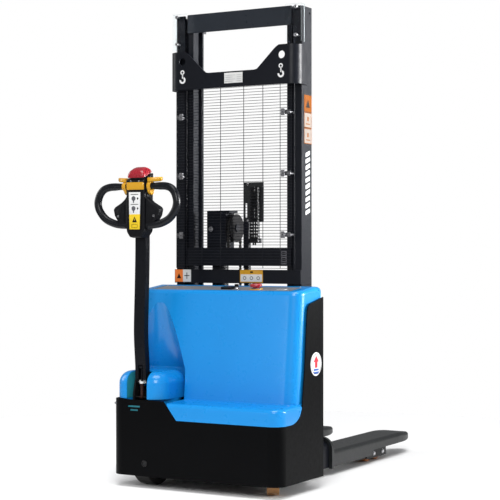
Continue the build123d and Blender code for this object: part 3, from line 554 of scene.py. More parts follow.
def make_fasteners():
    bm = bmesh.new()
    for side in (-1, 1):
        for y in (1.156, 1.251):
            for end in (-1, 1):
                x = side * 0.205 + end * 0.0629
                add_screw(bm, (x, y, 0.040), (end, 0, 0), 0.0080, 0.005, "bolt")
            add_tube(bm, [(side * 0.205 - 0.063, y, 0.04), (side * 0.205 + 0.063, y, 0.04)], 0.0079)
        for z in (1.870, 1.987):
            add_tube(bm, [(side * 0.291, 0.344, z), (side * 0.291, 0.364, z)], 0.004)
            add_screw(bm, (side * 0.291, 0.342, z), (0, -1, 0), 0.008, 0.0065)
        for row in (11, 32, 53):
            z = GUARD_FOOT + (row + 0.5) * GUARD_PITCH
            x = side * 0.248
            add_box(bm, (x - 0.009, 0.3052, z - 0.014), (x + 0.009, 0.3098, z + 0.014), 0.0012, 2)
            add_screw(bm, (x, 0.3053, z), (0, -1, 0), 0.0048, 0.0022, "hex", 2)
            add_tube(bm, [(x, 0.309, z), (x, 0.317, z)], 0.0025, 2, 10)
            a, b = sorted((side * 0.248, side * 0.278))
            add_box(bm, (a, 0.3166, z - 0.009), (b, 0.319, z + 0.009), 0.0008, 2)
            add_tube(bm, [(side * 0.270, 0.3165, z), (side * 0.270, 0.364, z)], 0.005, 2)
    add_screw(bm, (-0.375, 0, 0.345), (0, -1, 0), 0.005, 0.0028)
    finish_piece("bright_bolts", bm, ["steel", "ink", "dull"], "chassis", ["bright_fasteners"])
    bm = bmesh.new()
    rim = [(0, 0), (0.013, 0), (0.013, 0.0020), (0.0118, 0.003), (0.0095, 0.003), (0.0088, 0.0012),
           (0, 0.0012)]
    add_lathe(bm, rim, along((-0.232, 0, 0.103), (0, -1, 0)), 0)
    finish_piece("skirt_plug", bm, ["black", "ink"], "chassis", ())


# ---------------------------------------------------------------- plates and printed marks
def add_hook(bm, x, z, y, slot):
    add_strip(bm, (x, z + 0.0205), 0.0074, 0.0050, 0, 360, 0.0004, y, slot, 28)
    add_box(bm, (x - 0.0022, y - 0.0004, z + 0.0010), (x + 0.0034, y, z + 0.0140), 0, slot)
    add_strip(bm, (x + 0.0005, z - 0.0128), 0.0112, 0.0080, -190, 62, 0.0004, y, slot, 36)
    add_strip(bm, (x - 0.0036, z + 0.0010), 0.0052, 0.0056, -70, 30, 0.0004, y, slot, 12)


def make_labels():
    bm = bmesh.new()
    steel, pale, orange, yellow, ink, white, blue, red, orange_print_painted_shade, white_print_painted_shade = range(10)

    def mark(x0, z0, x1, z1, slot=ink):
        add_box(bm, (x0, y - 0.0011, z0), (x1, y - 0.0007, z1), 0, slot)

    y = 0.304
    add_box(bm, (-0.031, y - 0.0008, 1.683), (0.058, y, 1.727), 0.0003, pale)
    for i in range(4):
        z = 1.690 + i * 0.0085
        mark(-0.026, z, 0.010 + 0.012 * (i % 2), z + 0.0014, steel)
        mark(0.030, z, 0.052, z + 0.0014, steel)
    for x in (-0.240, 0.240):
        add_hook(bm, x, 1.721, y, white)
    y = 0.350
    add_box(bm, (-0.306, y - 0.0008, 0.843), (-0.266, y, 0.896), 0.0002, orange)
    add_box(bm, (-0.266, y - 0.0008, 0.843), (-0.225, y, 0.896), 0.0002, pale)
    add_prism(bm, [(-0.297, 0.858), (-0.275, 0.858), (-0.286, 0.880)], "y", y - 0.0011, y - 0.0007, 0, ink)
    mark(-0.2475, 0.856, -0.2440, 0.883)
    mark(-0.2590, 0.868, -0.2325, 0.8715)
    add_box(bm, (0.019, y - 0.0006, 0.843), (0.130, y, 0.896), 0.0002, yellow)
    add_box(bm, (0.0225, y - 0.0010, 0.8465), (0.1265, y - 0.0005, 0.8775), 0.0002, pale)
    for i in range(3):
        add_strip(bm, (0.042 + i * 0.033, 0.862), 0.0065, 0.0022, 0, 360, 0.0003, y - 0.0010, ink)
    add_box(bm, (0.068, y - 0.0009, 0.8835), (0.082, y - 0.0005, 0.8905), 0, ink)
    # The side labels below use the darkened print copies: painted shade on this face.
    x = 0.306
    add_box(bm, (x, 0.385, 1.556), (x + 0.0008, 0.453, 1.626), 0.0002, orange_print_painted_shade)
    for z0 in (1.4895, 1.423):
        add_box(bm, (x, 0.385, z0), (x + 0.0008, 0.453, z0 + 0.0645), 0.0002, orange_print_painted_shade)
        add_box(bm, (x + 0.0006, 0.388, z0 + 0.003), (x + 0.0010, 0.450, z0 + 0.0615), 0, white_print_painted_shade)
        for y0, y1, up0, up1 in ((0.400, 0.438, 0.014, 0.018), (0.413, 0.425, 0.028, 0.046)):
            add_box(bm, (x + 0.0009, y0, z0 + up0), (x + 0.0012, y1, z0 + up1), 0, orange_print_painted_shade)
    add_prism(bm, [(0.402, 1.574), (0.436, 1.574), (0.419, 1.606)], "x", x + 0.0007, x + 0.0011, 0, ink)
    for i in range(10):
        z = 1.126 + i * 0.0268
        bar = [(0.400, z), (0.436, z + 0.012), (0.436, z + 0.028), (0.400, z + 0.016)]
        add_prism(bm, bar, "x", x, x + 0.0007, 0, white)
    for side in (-1, 1):
        at = Vector((side * 0.400, 0.310, 0.515))
        add_disc(bm, at, (side, 0, 0), 0.048, 0.0011, 0.0005, white, 64)
        ring = [(0.0400, 0.0010), (0.0418, 0.0010), (0.0418, 0.0014), (0.0400, 0.0014)]
        add_lathe(bm, ring, along(at, (side, 0, 0)), ink, 64)
        a, b = sorted((at.x + side * 0.0010, at.x + side * 0.0014))
        add_prism(bm, [(0.286, 0.524), (0.334, 0.524), (0.310, 0.549)], "x", a, b, 0, red)
        add_prism(bm, [(0.299, 0.500), (0.321, 0.500), (0.321, 0.524), (0.299, 0.524)], "x", a, b, 0, red)
        for z in (0.492, 0.480):
            line = [(0.288, z - 0.004), (0.332, z - 0.004), (0.332, z + 0.004), (0.288, z + 0.004)]
            add_prism(bm, line, "x", a, b, 0, blue)
    finish_piece("label_set", bm, ["satin_steel", "pale", "orange", "yellow", "ink", "white", "blue_print",
                                   "red_print", "orange_print_painted_shade", "white_print_painted_shade"],
                 "chassis", ["label_plates"])
    bm = bmesh.new()
    add_box(bm, (0.208, 0.3674, 0.920), (0.233, 0.3680, 0.978), 0.0002, 0)
    for i in range(6):
        add_box(bm, (0.212, 0.3671, 0.926 + i * 0.0085), (0.229, 0.3675, 0.930 + i * 0.0085), 0, 1)
    finish_piece("mid_bar_label", bm, ["grey_print", "ink"], "inner_mast", ())


# ---------------------------------------------------------------- instrument panel
def on_panel(x, y, lift=0.0):
    z = KEY.z + (y - KEY.y) * math.tan(TILT)
    return Matrix.Translation((x, y, z)) @ Matrix.Rotation(TILT, 4, "X") @ Matrix.Translation((0, 0, lift))


def make_panel_parts():
    bm = bmesh.new()
    place = on_panel(0.018, 0.252)
    add_box(bm, (-0.026, -0.017, -0.0014), (0.026, 0.017, 0.0090), 0.0025, 0, place, 3)
    add_box(bm, (-0.020, -0.011, 0.0086), (0.020, 0.010, 0.0096), 0.0006, 1, place)
    for i in range(5):
        x = -0.016 + i * 0.008
        add_box(bm, (x, -0.0150, 0.0088), (x + 0.005, -0.0128, 0.0094), 0.0003, 2 if i < 3 else 3, place)
    finish_piece("display_housing", bm, ["black", "screen", "teal_and_painted_shade", "red"], "chassis",
                 ["display_pod"])

    bm = bmesh.new()
    place = on_panel(0.154, 0.250)
    cap = [(0, 0.0205), (0.012, 0.0205), (0.0165, 0.0218), (0.0215, 0.0215), (0.0245, 0.0185),
           (0.0250, 0.0150), (0.0240, 0.0112), (0.014, 0.0108), (0.014, 0.005), (0.011, 0.004),
           (0.011, -0.0175), (0, -0.0175)]
    add_lathe(bm, cap, place, 0, 56)
    for k in range(3):
        spin = place @ Matrix.Rotation(k * 2 * math.pi / 3, 4, "Z")
        add_box(bm, (0.014, -0.0012, 0.0205), (0.0205, 0.0012, 0.0224), 0.0005, 0, spin)
    finish_piece("estop_mushroom", bm, ["red"], "estop", ["estop_button"])

    bm = bmesh.new()
    ring = [(0.0215, -0.001), (0.027, -0.001), (0.027, 0.0010), (0.026, 0.0018), (0.0215, 0.0018)]
    add_lathe(bm, ring, place, 0, 56)
    finish_piece("estop_ring", bm, ["yellow"], "chassis", ())

    bm = bmesh.new()
    place = on_panel(0.062, 0.250)
    add_lathe(bm, [(0, -0.010), (0.0069, -0.010), (0.0069, -0.0006), (0.010, -0.0005), (0.010, 0.0030),
                   (0.0085, 0.0045), (0, 0.0045)], place, 0, 40)
    add_box(bm, (-0.004, -0.0011, 0.004), (0.004, 0.0011, 0.010), 0.0004, 0, place)
    bow = [(-0.0100, 0.0095), (-0.0075, 0.0085), (0.0075, 0.0085), (0.0100, 0.0095), (0.0100, 0.0175),
           (0.0075, 0.0200), (-0.0075, 0.0200), (-0.0100, 0.0175)]
    add_prism(bm, bow, "y", -0.0015, 0.0015, 0.0009, 1, place)
    finish_piece("key_and_bow", bm, ["steel", "black"], "ignition_key", ["key"])

    bm = bmesh.new()
    for x in (-0.322, 0.322):
        for y in (0.220, 0.316):
            add_screw(bm, on_panel(x, y, -0.0016).translation, (0, -math.sin(TILT), math.cos(TILT)),
                      0.0045, 0.0022)
    place = on_panel(0.272, 0.258, -0.0015)
    add_box(bm, (-0.022, -0.012, 0), (0.022, 0.012, 0.0007), 0.0002, 3, place)
    for i in range(3):
        add_box(bm, (-0.018, -0.008 + i * 0.006, 0.0006), (0.012, -0.006 + i * 0.006, 0.0010), 0, 2, place)
    finish_piece("panel_trim", bm, ["steel", "black", "shell", "pale"], "chassis", ())


# ---------------------------------------------------------------- tiller
def add_head_plate(bm, outline, *build):
    """A plate from (x, z) points in millimetres from the tiller's middle line, pushed along y."""
    add_prism(bm, [(TX + u * 0.001, v * 0.001) for u, v in outline], "y", *build)


def mirrored(half):
    return half + [(-u, v) for u, v in reversed(half)]


def rounded_plan(half, y0, y1, r, steps=5):
    out = []
    for cx, cy, start in ((half - r, y1 - r, 0), (-half + r, y1 - r, 90), (-half + r, y0 + r, 180),
                          (half - r, y0 + r, 270)):
        for k in range(steps + 1):
            a = math.radians(start + 90 * k / steps)
            out.append((TX + cx + r * math.cos(a), cy + r * math.sin(a)))
    return out


BELLY_SLOPE = 0.44


def belly_place(drop):
    return (Matrix.Translation((TX, 0.028, 1.2708 + BELLY_SLOPE * 0.048 - drop))
            @ Matrix.Rotation(math.atan(BELLY_SLOPE), 4, "X"))


def belly_rings(shrink):
    rings = [(0, 43, 36, 13), (10.5, 41, 34.5, 15), (19, 36, 30, 17), (25, 28, 23, 15), (28.5, 14, 11, 8)]
    return [(0.001 * h * (1 - shrink / 28.5), 0.001 * (x - shrink), 0.001 * (y - shrink),
             0.001 * (r - 0.8 * shrink)) for h, x, y, r in rings]


def make_tiller_head():
    bm = bmesh.new()
    shell, yellow, steel, ink, white, black, sign, grey = range(8)

    def bar(x0, z0, x1, z1, slot=ink):
        add_box(bm, (TX + x0, -0.0105, z0), (TX + x1, -0.0101, z1), 0, slot)

    front = mirrored([(28, 1032), (43, 1054), (46, 1070), (45.5, 1262)])
    add_head_plate(bm, front, -0.0058, 0.020, 0.0060, shell, None, 4)
    core = mirrored([(28, 1030), (48, 1056), (51, 1070), (50.5, 1262)])
    add_head_plate(bm, core, 0.008, 0.054, 0.0060, shell, None, 4)
    wing = [(44, 1069), (56, 1070), (92, 1098), (108, 1122), (114, 1148), (106, 1158), (74, 1176),
            (57, 1190), (46, 1206)]
    for side in (-1, 1):
        half = [(side * u, v) for u, v in wing]
        add_head_plate(bm, half, 0.0, 0.036, 0.005, shell, None, 3, 0.2)
        pad = [(side * u, v) for u, v in ((58, 1094), (86, 1110), (99, 1142), (72, 1160), (58, 1168))]
        add_head_plate(bm, pad, -0.0018, 0.002, 0.0014, shell)
        add_screw(bm, (TX + side * 0.088, -0.0004, 1.120), (0, -1, 0), 0.0048, 0.0026, "hex", steel, ink)
    panel = [(-30, 1062), (30, 1062), (34, 1226), (-34, 1226)]
    add_head_plate(bm, panel, -0.0098, -0.002, 0.0028, shell, None, 3)
    add_head_plate(bm, [(-26.5, 1127), (26.5, 1127), (28.5, 1218), (-28.5, 1218)],
                   -0.0102, -0.0094, 0.0003, white)
    add_head_plate(bm, [(-25, 1065), (25, 1065), (26.5, 1127), (-26.5, 1127)],
                   -0.0102, -0.0094, 0.0003, sign)
    for z in (1192, 1151):
        at = (TX - 0.005, -0.0101, z * 0.001)
        add_disc(bm, at, (0, -1, 0), 0.0098, 0.0004, 0.0001, grey, 28)
        bar(-0.0075, z * 0.001 - 0.018, -0.0025, z * 0.001 - 0.008, grey)
        for up in (-1, 1):
            tip = [(11, z - 2 * up), (20, z - 2 * up), (15.5, z + 6 * up)]
            add_head_plate(bm, tip, -0.0105, -0.0101, 0, ink)
    for z in (1209, 1168):
        bar(-0.019, z * 0.001 - 0.0012, 0.019, z * 0.001 + 0.0012)
    add_head_plate(bm, [(-12, 1094), (12, 1094), (0, 1118)], -0.0105, -0.0101, 0, ink)
    add_box(bm, (TX - 0.0011, -0.0108, 1.1005), (TX + 0.0011, -0.0104, 1.1100), 0, sign)
    for z0, z1 in ((1.0712, 1.0724), (1.0852, 1.0864)):
        bar(-0.014, z0, 0.014, z1)
    for dx in (-0.014, 0.0128):
        add_box(bm, (TX + dx, -0.0105, 1.0712), (TX + dx + 0.0012, -0.0101, 1.0864), 0, ink)
    band = [(-0.0430, 0.012), (-0.0430, -0.006), (-0.039, -0.0100), (0.039, -0.0100), (0.0430, -0.006),
            (0.0430, 0.012)]
    add_prism(bm, [(TX + u, v) for u, v in band], "z", 1.228, 1.259, 0.0020, yellow, None, 3)
    housing = bmesh.new()
    outline = rounded_plan(0.046, -0.008, 0.065, 0.008)
    rings = [[housing.verts.new((x, y, z)) for x, y in outline] for z in (1.2555, 1.320)]
    housing.faces.new(rings[0])
    housing.faces.new(list(reversed(rings[1])))
    for k in range(len(outline)):
        m = (k + 1) % len(outline)
        housing.faces.new((rings[0][k], rings[0][m], rings[1][m], rings[1][k]))
    normal = Vector((0, BELLY_SLOPE, -1)).normalized()
    geom = housing.verts[:] + housing.edges[:] + housing.faces[:]
    done = bmesh.ops.bisect_plane(housing, geom=geom, plane_co=(TX, -0.020, 1.2618), plane_no=normal,
                                  clear_inner=True)
    rim = [g for g in done["geom_cut"] if isinstance(g, bmesh.types.BMEdge)]
    bmesh.ops.contextual_create(housing, geom=rim)
    bmesh.ops.recalc_face_normals(housing, faces=housing.faces)
    soften(housing, 0.0014, 2, 0.6)
    merged(bm, housing, black)
    add_pillow(bm, belly_rings(0.0085 * 1000), belly_place(0.009), black)
    shoulder = [(0.050, 1.2615), (0.065, 1.2615), (0.065, 1.228), (0.054, 1.216), (0.050, 1.216)]
    add_prism(bm, shoulder, "x", TX - 0.049, TX + 0.049, 0.003, shell)
    for dx in (-0.020, 0.020):
        add_screw(bm, (TX + dx, -0.0078, 1.2632), (0, -1, 0), 0.0036, 0.0018, "hex", steel, ink)
    for side in (-1, 1):
        ring = [(0.0142, 0), (0.0165, 0), (0.0165, 0.0010), (0.0142, 0.0010)]
        add_lathe(bm, ring, along((TX + side * 0.0508, GRIP.y, GRIP.z), (side, 0, 0)), black, 36)
    finish_piece("tiller_head_shell", bm,
                 ["shell", "yellow", "steel", "ink", "white", "black", "sign", "grey_print"], "tiller",
                 ["tiller_head"], 30)


def make_handle():
    bm = bmesh.new()
    path = [(51, 15, 1243), (66, 15, 1243), (84, 15, 1243), (112, 13.5, 1242.6), (142, 12, 1240.6),
            (168, 10, 1231), (186, 8, 1210), (195.2, 7, 1181), (192.5, 7, 1157), (184, 8, 1138.5),
            (167, 9.5, 1117), (146, 11, 1102), (114, 13.5, 1089.5), (84, 14.8, 1084.5),
            (56, 15, 1083), (48, 15, 1083)]
    for side in (-1, 1):
        points = [(TX + side * x * 0.001, y * 0.001, z * 0.001) for x, y, z in path]
        line = smooth_path(points, 7)
        radii = [0.0137 + 0.0022 * min(1.0, max(0.0, i / 7 - 2.0)) for i in range(len(line))]
        add_tube(bm, line, radii, 0, 28)
    finish_piece("handle_grips", bm, ["grip"], "tiller", ["handle_loops"], 50)


def make_throttle():
    bm = bmesh.new()
    lobe = [(-180, 0.0185), (-134, 0.0185), (-114, 0.0225), (-97, 0.0298), (-82, 0.0352), (-68, 0.0374),
            (-56, 0.0366), (-42, 0.0300), (-24, 0.0235), (-2, 0.0195), (30, 0.0185), (180, 0.0185)]
    centre = (GRIP.y, GRIP.z)
    for side in (-1, 1):
        def span(a, b):
            return sorted((TX + side * a, TX + side * b))
        add_cam(bm, centre, 0.0139, lobe, *span(0.0526, 0.065), 0.0024)
        add_cam(bm, centre, 0.0139, [(-180, 0.0182), (180, 0.0182)], *span(0.0635, 0.070), 0.0020)
        stations = [(0.0527, 0.003, 0.029, 1.2592, 1.2778), (0.070, 0.001, 0.030, 1.2606, 1.2778),
                    (0.084, 0.009, 0.034, 1.2614, 1.2788), (0.098, 0.020, 0.0385, 1.2630, 1.2801),
                    (0.107, 0.0272, 0.0408, 1.2665, 1.2806)]
        add_loft(bm, [(TX + side * x, y0, y1, z0, z1) for x, y0, y1, z0, z1 in stations], 0.0032)
        for k in range(3):
            x = TX + side * (0.086 + 0.006 * k)
            y = 0.0185 + 0.0040 * k
            z = 1.2790 + 0.0004 * k
            add_box(bm, (x - 0.0010, y - 0.004, z - 0.001), (x + 0.0010, y + 0.012, z + 0.0008), 0.0004)
    finish_piece("throttle_butterfly", bm, ["yellow"], "throttle", ["throttle_paddles"],
                 40)


def make_belly():
    bm = bmesh.new()
    add_pillow(bm, belly_rings(0), belly_place(0))
    finish_piece("belly_cap", bm, ["red"], "belly", ["belly_button"], 50)


def make_buttons():
    bm = bmesh.new()
    at = Vector((TX, 0.046, 1.200))
    add_lathe(bm, [(0, 0), (0.009, 0), (0.009, 0.0108), (0.0082, 0.012), (0.004, 0.0113), (0, 0.0111)],
              along(at, (0, 1, 0)), 0, 40)
    finish_piece("horn_cap", bm, ["black"], "horn", ["horn_button"])
    bm = bmesh.new()
    low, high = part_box("lift_rocker")
    add_box(bm, low, high, 0.0028, 0, None, 3)
    for up in (-1, 1):
        z = 1160 + up * 9
        tip = [(-4.5, z - 2.5 * up), (4.5, z - 2.5 * up), (0, z + 3.5 * up)]
        add_head_plate(bm, tip, high.y - 0.0003, high.y + 0.0003, 0, 1)
    finish_piece("lift_rocker_cap", bm, ["black", "white"], "lift_control", ["lift_rocker"])
    bm = bmesh.new()
    add_lathe(bm, [(0.0096, 0), (0.0125, 0), (0.0118, 0.0016), (0.0096, 0.0016)],
              along((TX, 0.054, 1.200), (0, 1, 0)), 0, 40)
    frame_bits = [((-0.0195, 1.1385), (0.0195, 1.1420)), ((-0.0195, 1.1780), (0.0195, 1.1815)),
                  ((-0.0195, 1.1420), (-0.0160, 1.1780)), ((0.0160, 1.1420), (0.0195, 1.1780))]
    for (x0, z0), (x1, z1) in frame_bits:
        add_box(bm, (TX + x0, 0.0538, z0), (TX + x1, 0.0556, z1), 0.0005, 0)
    finish_piece("button_bezels", bm, ["black"], "tiller", ())


# ---------------------------------------------------------------- wheels
def wheel_profile(radius, half, bore, rim, dish, tread_round):
    """Half widths and radii of a solid-tyred wheel with a dished hub."""
    tread = [(rim, -half), (radius, -half), (radius, half), (rim, half)]
    hub = [(bore, -half * 0.72), (rim * 0.45, -half * 0.72), (rim * 0.55, -half * dish),
           (rim * 0.85, -half * dish), (rim, -half * 0.9), (rim, half * 0.9), (rim * 0.85, half * dish),
           (rim * 0.55, half * dish), (rim * 0.45, half * 0.72), (bore, half * 0.72)]
    return rounded_profile(tread, tread_round, 4), rounded_profile(hub, 0.0012, 2)


def make_wheel(name, at, axle, radius, half, bore, rim, dish, tread_round, mats, body, node,
               bolts=0):
    bm = bmesh.new()
    tread, hub = wheel_profile(radius, half, bore, rim, dish, tread_round)
    place = along(at, axle)
    add_lathe(bm, tread, place, 0, 96)
    add_lathe(bm, hub, place, 1, 64)
    for side in (-1, 1):
        ring = [(bore, side * half * 0.72), (rim * 0.40, side * half * 0.72),
                (rim * 0.37, side * half * 0.80), (bore, side * half * 0.80)]
        add_lathe(bm, ring, place, 2, 48)
        for k in range(bolts):
            a = 2 * math.pi * k / bolts
            r = rim * 0.70
            spot = place @ Vector((r * math.cos(a), r * math.sin(a), side * half * dish))
            direction = (place.to_3x3() @ Vector((0, 0, side))).normalized()
            add_screw(bm, spot, direction, radius * 0.055, radius * 0.035, "bolt", 2)
    return finish_piece(name, bm, mats, body, [node], 40)


def make_wheels():
    make_wheel("drive_tyre", WHEEL, (1, 0, 0), 0.105, 0.035, 0.0162, 0.078, 0.45, 0.005,
               ["tread", "iron", "steel"], "traction_wheel", "drive_wheel", 5)
    make_wheel("caster_tyre", CASTER, CASTER_AXLE, 0.065, 0.025, 0.0062, 0.046, 0.40, 0.006,
               ["caster_pu", "iron", "steel"], "caster_roller", "caster_wheel")
    for tag, node in (("lr", "load_roller_left_rear"), ("lf", "load_roller_left_front"),
                      ("rr", "load_roller_right_rear"), ("rf", "load_roller_right_front")):
        at = Vector(JOINTS["load_roll_" + tag]["pos_m"])
        make_wheel("roller_tyre_" + tag, at, (1, 0, 0), 0.040, 0.030, 0.0082, 0.030, 0.80, 0.003,
                   ["pu", "steel", "iron"], "roller_" + tag, node)


# ---------------------------------------------------------------- lift chain
def link_outline(pitch, r, steps=6):
    out = []
    for k in range(steps + 1):
        a = math.pi * k / steps
        out.append((r * math.cos(a), pitch / 2 + r * math.sin(a)))
    for k in range(steps + 1):
        a = math.pi + math.pi * k / steps
        out.append((r * math.cos(a), -pitch / 2 + r * math.sin(a)))
    return out


def add_link(bm, place, pitch, outer):
    offsets = (-0.0056, -0.0012, 0.0032) if outer else (-0.0034, 0.0010)
    for x in offsets:
        add_prism(bm, link_outline(pitch, 0.0040), "x", x, x + 0.0018, 0, 0, place)
    pin = place @ Vector((0, 0, pitch / 2))
    add_tube(bm, [pin - Vector((0.0066, 0, 0)), pin + Vector((0.0066, 0, 0))], 0.0019, 1, 8)


def make_chains():
    pitch = 0.0127

    def run(name, y, z0, z1, body, node):
        bm = bmesh.new()
        count = int((z1 - z0) / pitch)
        step = (z1 - z0) / count
        for i in range(count):
            add_link(bm, Matrix.Translation((SHEAVE.x, y, z0 + (i + 0.5) * step)), step, i % 2 == 0)
        piece = finish_piece(name, bm, ["chain", "satin_steel"], None, [node])
        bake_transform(piece)

    low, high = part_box("lift_chain_front")
    run("chain_links_front", (low.y + high.y) / 2, low.z, high.z, None, "lift_chain_front")
    low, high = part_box("lift_chain_rear")
    run("chain_links_rear", (low.y + high.y) / 2, low.z, high.z, None, "lift_chain_rear")
    bm = bmesh.new()
    count = 12
    for i in range(count):
        a = math.pi * (i + 0.5) / count
        y, z = SHEAVE.y + CHAIN_R * math.cos(a), SHEAVE.z + CHAIN_R * math.sin(a)
        place = Matrix.Translation((SHEAVE.x, y, z)) @ Matrix.Rotation(a, 4, "X")
        add_link(bm, place, math.pi * CHAIN_R / count, i % 2 == 0)
    finish_piece("chain_links_wrap", bm, ["chain", "satin_steel"], "crosshead_unit", ["chain_wrap"])


# ---------------------------------------------------------------- hose guide
def make_hose_guide():
    bm = bmesh.new()
    post, bracket, link, steel, ink = range(5)
    add_box(bm, (-0.005, 0.424, 0.120), (0.020, 0.442, 1.102), 0.002, post)
    cuts = [(0.004, 1.120, 1.180), (0.048, 1.230, 1.250), (0.048, 1.120, 1.160)]
    xs = [-0.007, 0.0, 0.009, 0.043, 0.053, 0.089]
    zs = [1.101, 1.120, 1.160, 1.180, 1.230, 1.250, 1.270]
    for x0, x1 in zip(xs[:-1], xs[1:]):
        for z0, z1 in zip(zs[:-1], zs[1:]):
            mx, mz = (x0 + x1) / 2, (z0 + z1) / 2
            if any(abs(mx - cx) < 0.0051 and a < mz < b for cx, a, b in cuts):
                continue
            add_box(bm, (x0, 0.428, z0), (x1, 0.432, z1), 0, bracket)
    for i in range(17):
        z = 1.012 + i * 0.014
        add_box(bm, (0.034, 0.407, z), (0.040, 0.427, z + 0.0125), 0.0012, link)
        add_box(bm, (0.066, 0.407, z), (0.072, 0.427, z + 0.0125), 0.0012, link)
        add_box(bm, (0.033, 0.4065, z + 0.003), (0.073, 0.4085, z + 0.0095), 0.0006, link)
        add_disc(bm, (0.072, 0.417, z + 0.006), (1, 0, 0), 0.003, 0.001, 0.0003, steel, 16)
    for dx in (0.046, 0.056):
        hose = smooth_path([(dx, 0.417, 1.0), (dx, 0.4165, 1.1), (dx, 0.4170, 1.25)], 6)
        add_tube(bm, hose, 0.0036, ink, 12)
    add_box(bm, (0.020, 0.426, 1.010), (0.074, 0.440, 1.030), 0.0012, post)
    for z in (1.106, 1.262):
        add_screw(bm, (0.012, 0.428, z), (0, -1, 0), 0.0042, 0.003, "bolt", steel)
    finish_piece("hose_carrier", bm, ["mast", "fork", "black", "steel", "ink"], "chassis",
                 ["hose_guide"])


# ---------------------------------------------------------------- small extras
def make_extras():
    bm = bmesh.new()
    # Teal sheet in the left part of the dome slot: painted shade of the slot's inside.
    add_box(bm, (-0.322, 0.0045, 0.310), (-0.249, 0.0062, 0.3425), 0.0003, 0)
    finish_piece("slot_backing_painted_shade", bm, ["teal_and_painted_shade"], "chassis", ())
    bm = bmesh.new()
    add_screw(bm, (-0.150, 0.391, 1.070), (0, -1, 0), 0.009, 0.004, "bolt")
    finish_piece("crosshead_bolt", bm, ["satin_steel"], "crosshead_unit", ())
    bm = bmesh.new()
    # Teal sheets on both cheek walls of the dome slot: painted shade of the walls.
    cheek = [(0.009, 0.368), (0.009, 0.425), (0.0127, 0.4436), (0.0233, 0.4592), (0.039, 0.4697),
             (0.058, 0.4735), (0.078, 0.4735), (0.078, 0.368)]
    for x in (-0.0498, 0.0494):
        add_prism(bm, cheek, "x", TX + x, TX + x + 0.0004, 0)
    finish_piece("slot_cheeks_painted_shade", bm, ["teal_and_painted_shade"], "steer_unit", ())
    hinge = JOINTS["tiller_tilt"]["pos_m"]
    bm = bmesh.new()
    add_tube(bm, [(TX - 0.0197, *hinge[1:]), (TX + 0.0197, *hinge[1:])], 0.0074, 0, 28)
    for side in (-1, 1):
        add_disc(bm, (TX + side * 0.038, *hinge[1:]), (side, 0, 0), 0.0105, 0.0022, 0.0006, 0, 6)
    finish_piece("pivot_sleeve", bm, ["white"], "steer_unit", ())
    bm = bmesh.new()
    low_pin = Vector(JOINTS["gas_tube_swing"]["pos_m"])
    line = (Vector(JOINTS["gas_rod_swing"]["pos_m"]) - low_pin).normalized()
    ring = [(0.0080, 0.0570), (0.0094, 0.0570), (0.0097, 0.0590), (0.0097, 0.0645), (0.0088, 0.0664),
            (0.0042, 0.0664), (0.0042, 0.0655), (0.0080, 0.0655)]
    add_lathe(bm, ring, along(low_pin, line), 0, 40)
    finish_piece("spring_collar", bm, ["white"], "gas_spring_body", ())
    bm = bmesh.new()
    sheet = [(0.240, 0.342), (0.316, 0.342), (0.316, 0.372), (0.312, 0.372), (0.312, 0.346), (0.240, 0.346)]
    for side in (-1, 1):
        add_prism(bm, [(side * u, v) for u, v in sheet], "z", 1.843, 2.000, 0.0003, 0, None, 1)
    # The sheets' lip, outer edge and top faces take the light grey: painted highlight along the edges.
    for face in bm.faces:
        at = face.calc_center_median()
        lip = at.y > 0.3715 and face.calc_area() < 0.0007
        face.material_index = 1 if lip or (abs(at.x) > 0.3155 and at.y < 0.343) or at.z > 1.9995 else 0
    finish_piece("guard_sheets", bm, ["clear", "edge_highlight"], "chassis", ["top_guards"])


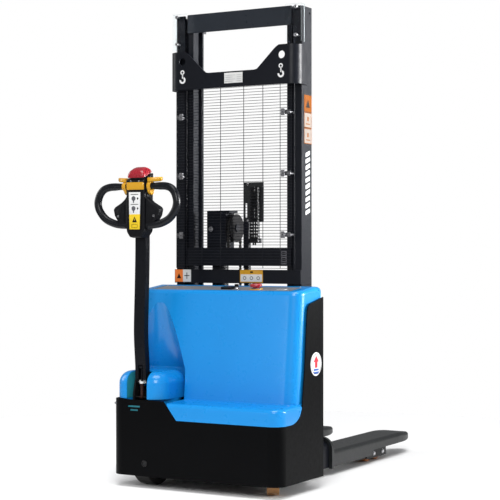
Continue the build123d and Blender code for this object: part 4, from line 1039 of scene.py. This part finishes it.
# ---------------------------------------------------------------- stage, lights and camera
def make_stage():
    scene = bpy.context.scene
    world = bpy.data.worlds.new("studio")
    scene.world = world
    world.use_nodes = True
    tree = world.node_tree
    backdrop = tree.nodes["Background"]
    backdrop.inputs["Color"].default_value = (1.0, 1.0, 1.0, 1)
    backdrop.inputs["Strength"].default_value = 1.0
    ambient = tree.nodes.new("ShaderNodeBackground")
    ambient.inputs["Color"].default_value = (0.97, 0.98, 1.0, 1)
    ambient.inputs["Strength"].default_value = 0.29
    path = tree.nodes.new("ShaderNodeLightPath")
    blend = tree.nodes.new("ShaderNodeMixShader")
    seen = tree.nodes.new("ShaderNodeMath")
    seen.operation = "MAXIMUM"
    tree.links.new(path.outputs["Is Camera Ray"], seen.inputs[0])
    tree.links.new(path.outputs["Is Transmission Ray"], seen.inputs[1])
    tree.links.new(seen.outputs[0], blend.inputs[0])
    tree.links.new(ambient.outputs[0], blend.inputs[1])
    tree.links.new(backdrop.outputs[0], blend.inputs[2])
    tree.links.new(blend.outputs[0], tree.nodes["World Output"].inputs["Surface"])

    mesh = bpy.data.meshes.new("floor")
    size = 2.6
    rim = [(size * math.cos(a), 0.5 + size * math.sin(a), 0) for a in (math.pi * k / 64 for k in range(128))]
    mesh.from_pydata(rim, [], [tuple(range(128))])
    pale = bpy.data.materials.new("floor_pale")
    pale.use_nodes = True
    shader = pale.node_tree.nodes["Principled BSDF"]
    shader.inputs["Base Color"].default_value = (0.98, 0.98, 0.98, 1)
    shader.inputs["Roughness"].default_value = 0.95
    shader.inputs["Specular IOR Level"].default_value = 0.0
    mesh.materials.append(pale)
    floor = bpy.data.objects.new("floor", mesh)
    scene.collection.objects.link(floor)

    def area(name, at, target, width, height, power, spread=180):
        light = bpy.data.lights.new(name, "AREA")
        light.shape = "RECTANGLE"
        light.size, light.size_y = width, height
        light.energy = power
        light.spread = math.radians(spread)
        lamp = bpy.data.objects.new(name, light)
        lamp.location = at
        lamp.rotation_euler = (Vector(target) - Vector(at)).to_track_quat("-Z", "Y").to_euler()
        scene.collection.objects.link(lamp)

    area("key", (2.6, -4.6, 3.4), (0, 0.2, 0.9), 2.2, 2.2, 190)
    area("right_back", (3.8, 2.6, 2.0), (0.3, 0.4, 1.9), 2.0, 2.0, 62, 42)
    area("left", (-4.2, -0.6, 2.4), (0, 0.3, 0.9), 2.0, 2.4, 60)
    area("front_left", (-1.7, -4.2, 1.5), (-0.1, 0.15, 0.5), 0.6, 1.8, 12)
    sun = bpy.data.lights.new("overhead", "SUN")
    sun.energy = 1.9
    sun.angle = math.radians(35)
    lamp = bpy.data.objects.new("overhead", sun)
    lamp.rotation_euler = (math.radians(12), math.radians(10), 0)
    scene.collection.objects.link(lamp)

    data = bpy.data.cameras.new("camera")
    data.sensor_width = 36.0
    data.lens = 104.64
    data.shift_y = 0.00214
    data.clip_end = 200
    camera = bpy.data.objects.new("camera", data)
    camera.location = (3.1017, -4.9699, 0.9757)
    camera.rotation_euler = (math.pi / 2, 0, math.radians(29.697))
    scene.collection.objects.link(camera)
    scene.camera = camera
    scene.view_settings.view_transform = "Standard"
    scene.view_settings.look = "None"


make_stage()
make_mesh_guard()
make_fasteners()
make_labels()
make_panel_parts()
make_tiller_head()
make_handle()
make_throttle()
make_belly()
make_buttons()
make_wheels()
make_chains()
make_hose_guide()
make_extras()
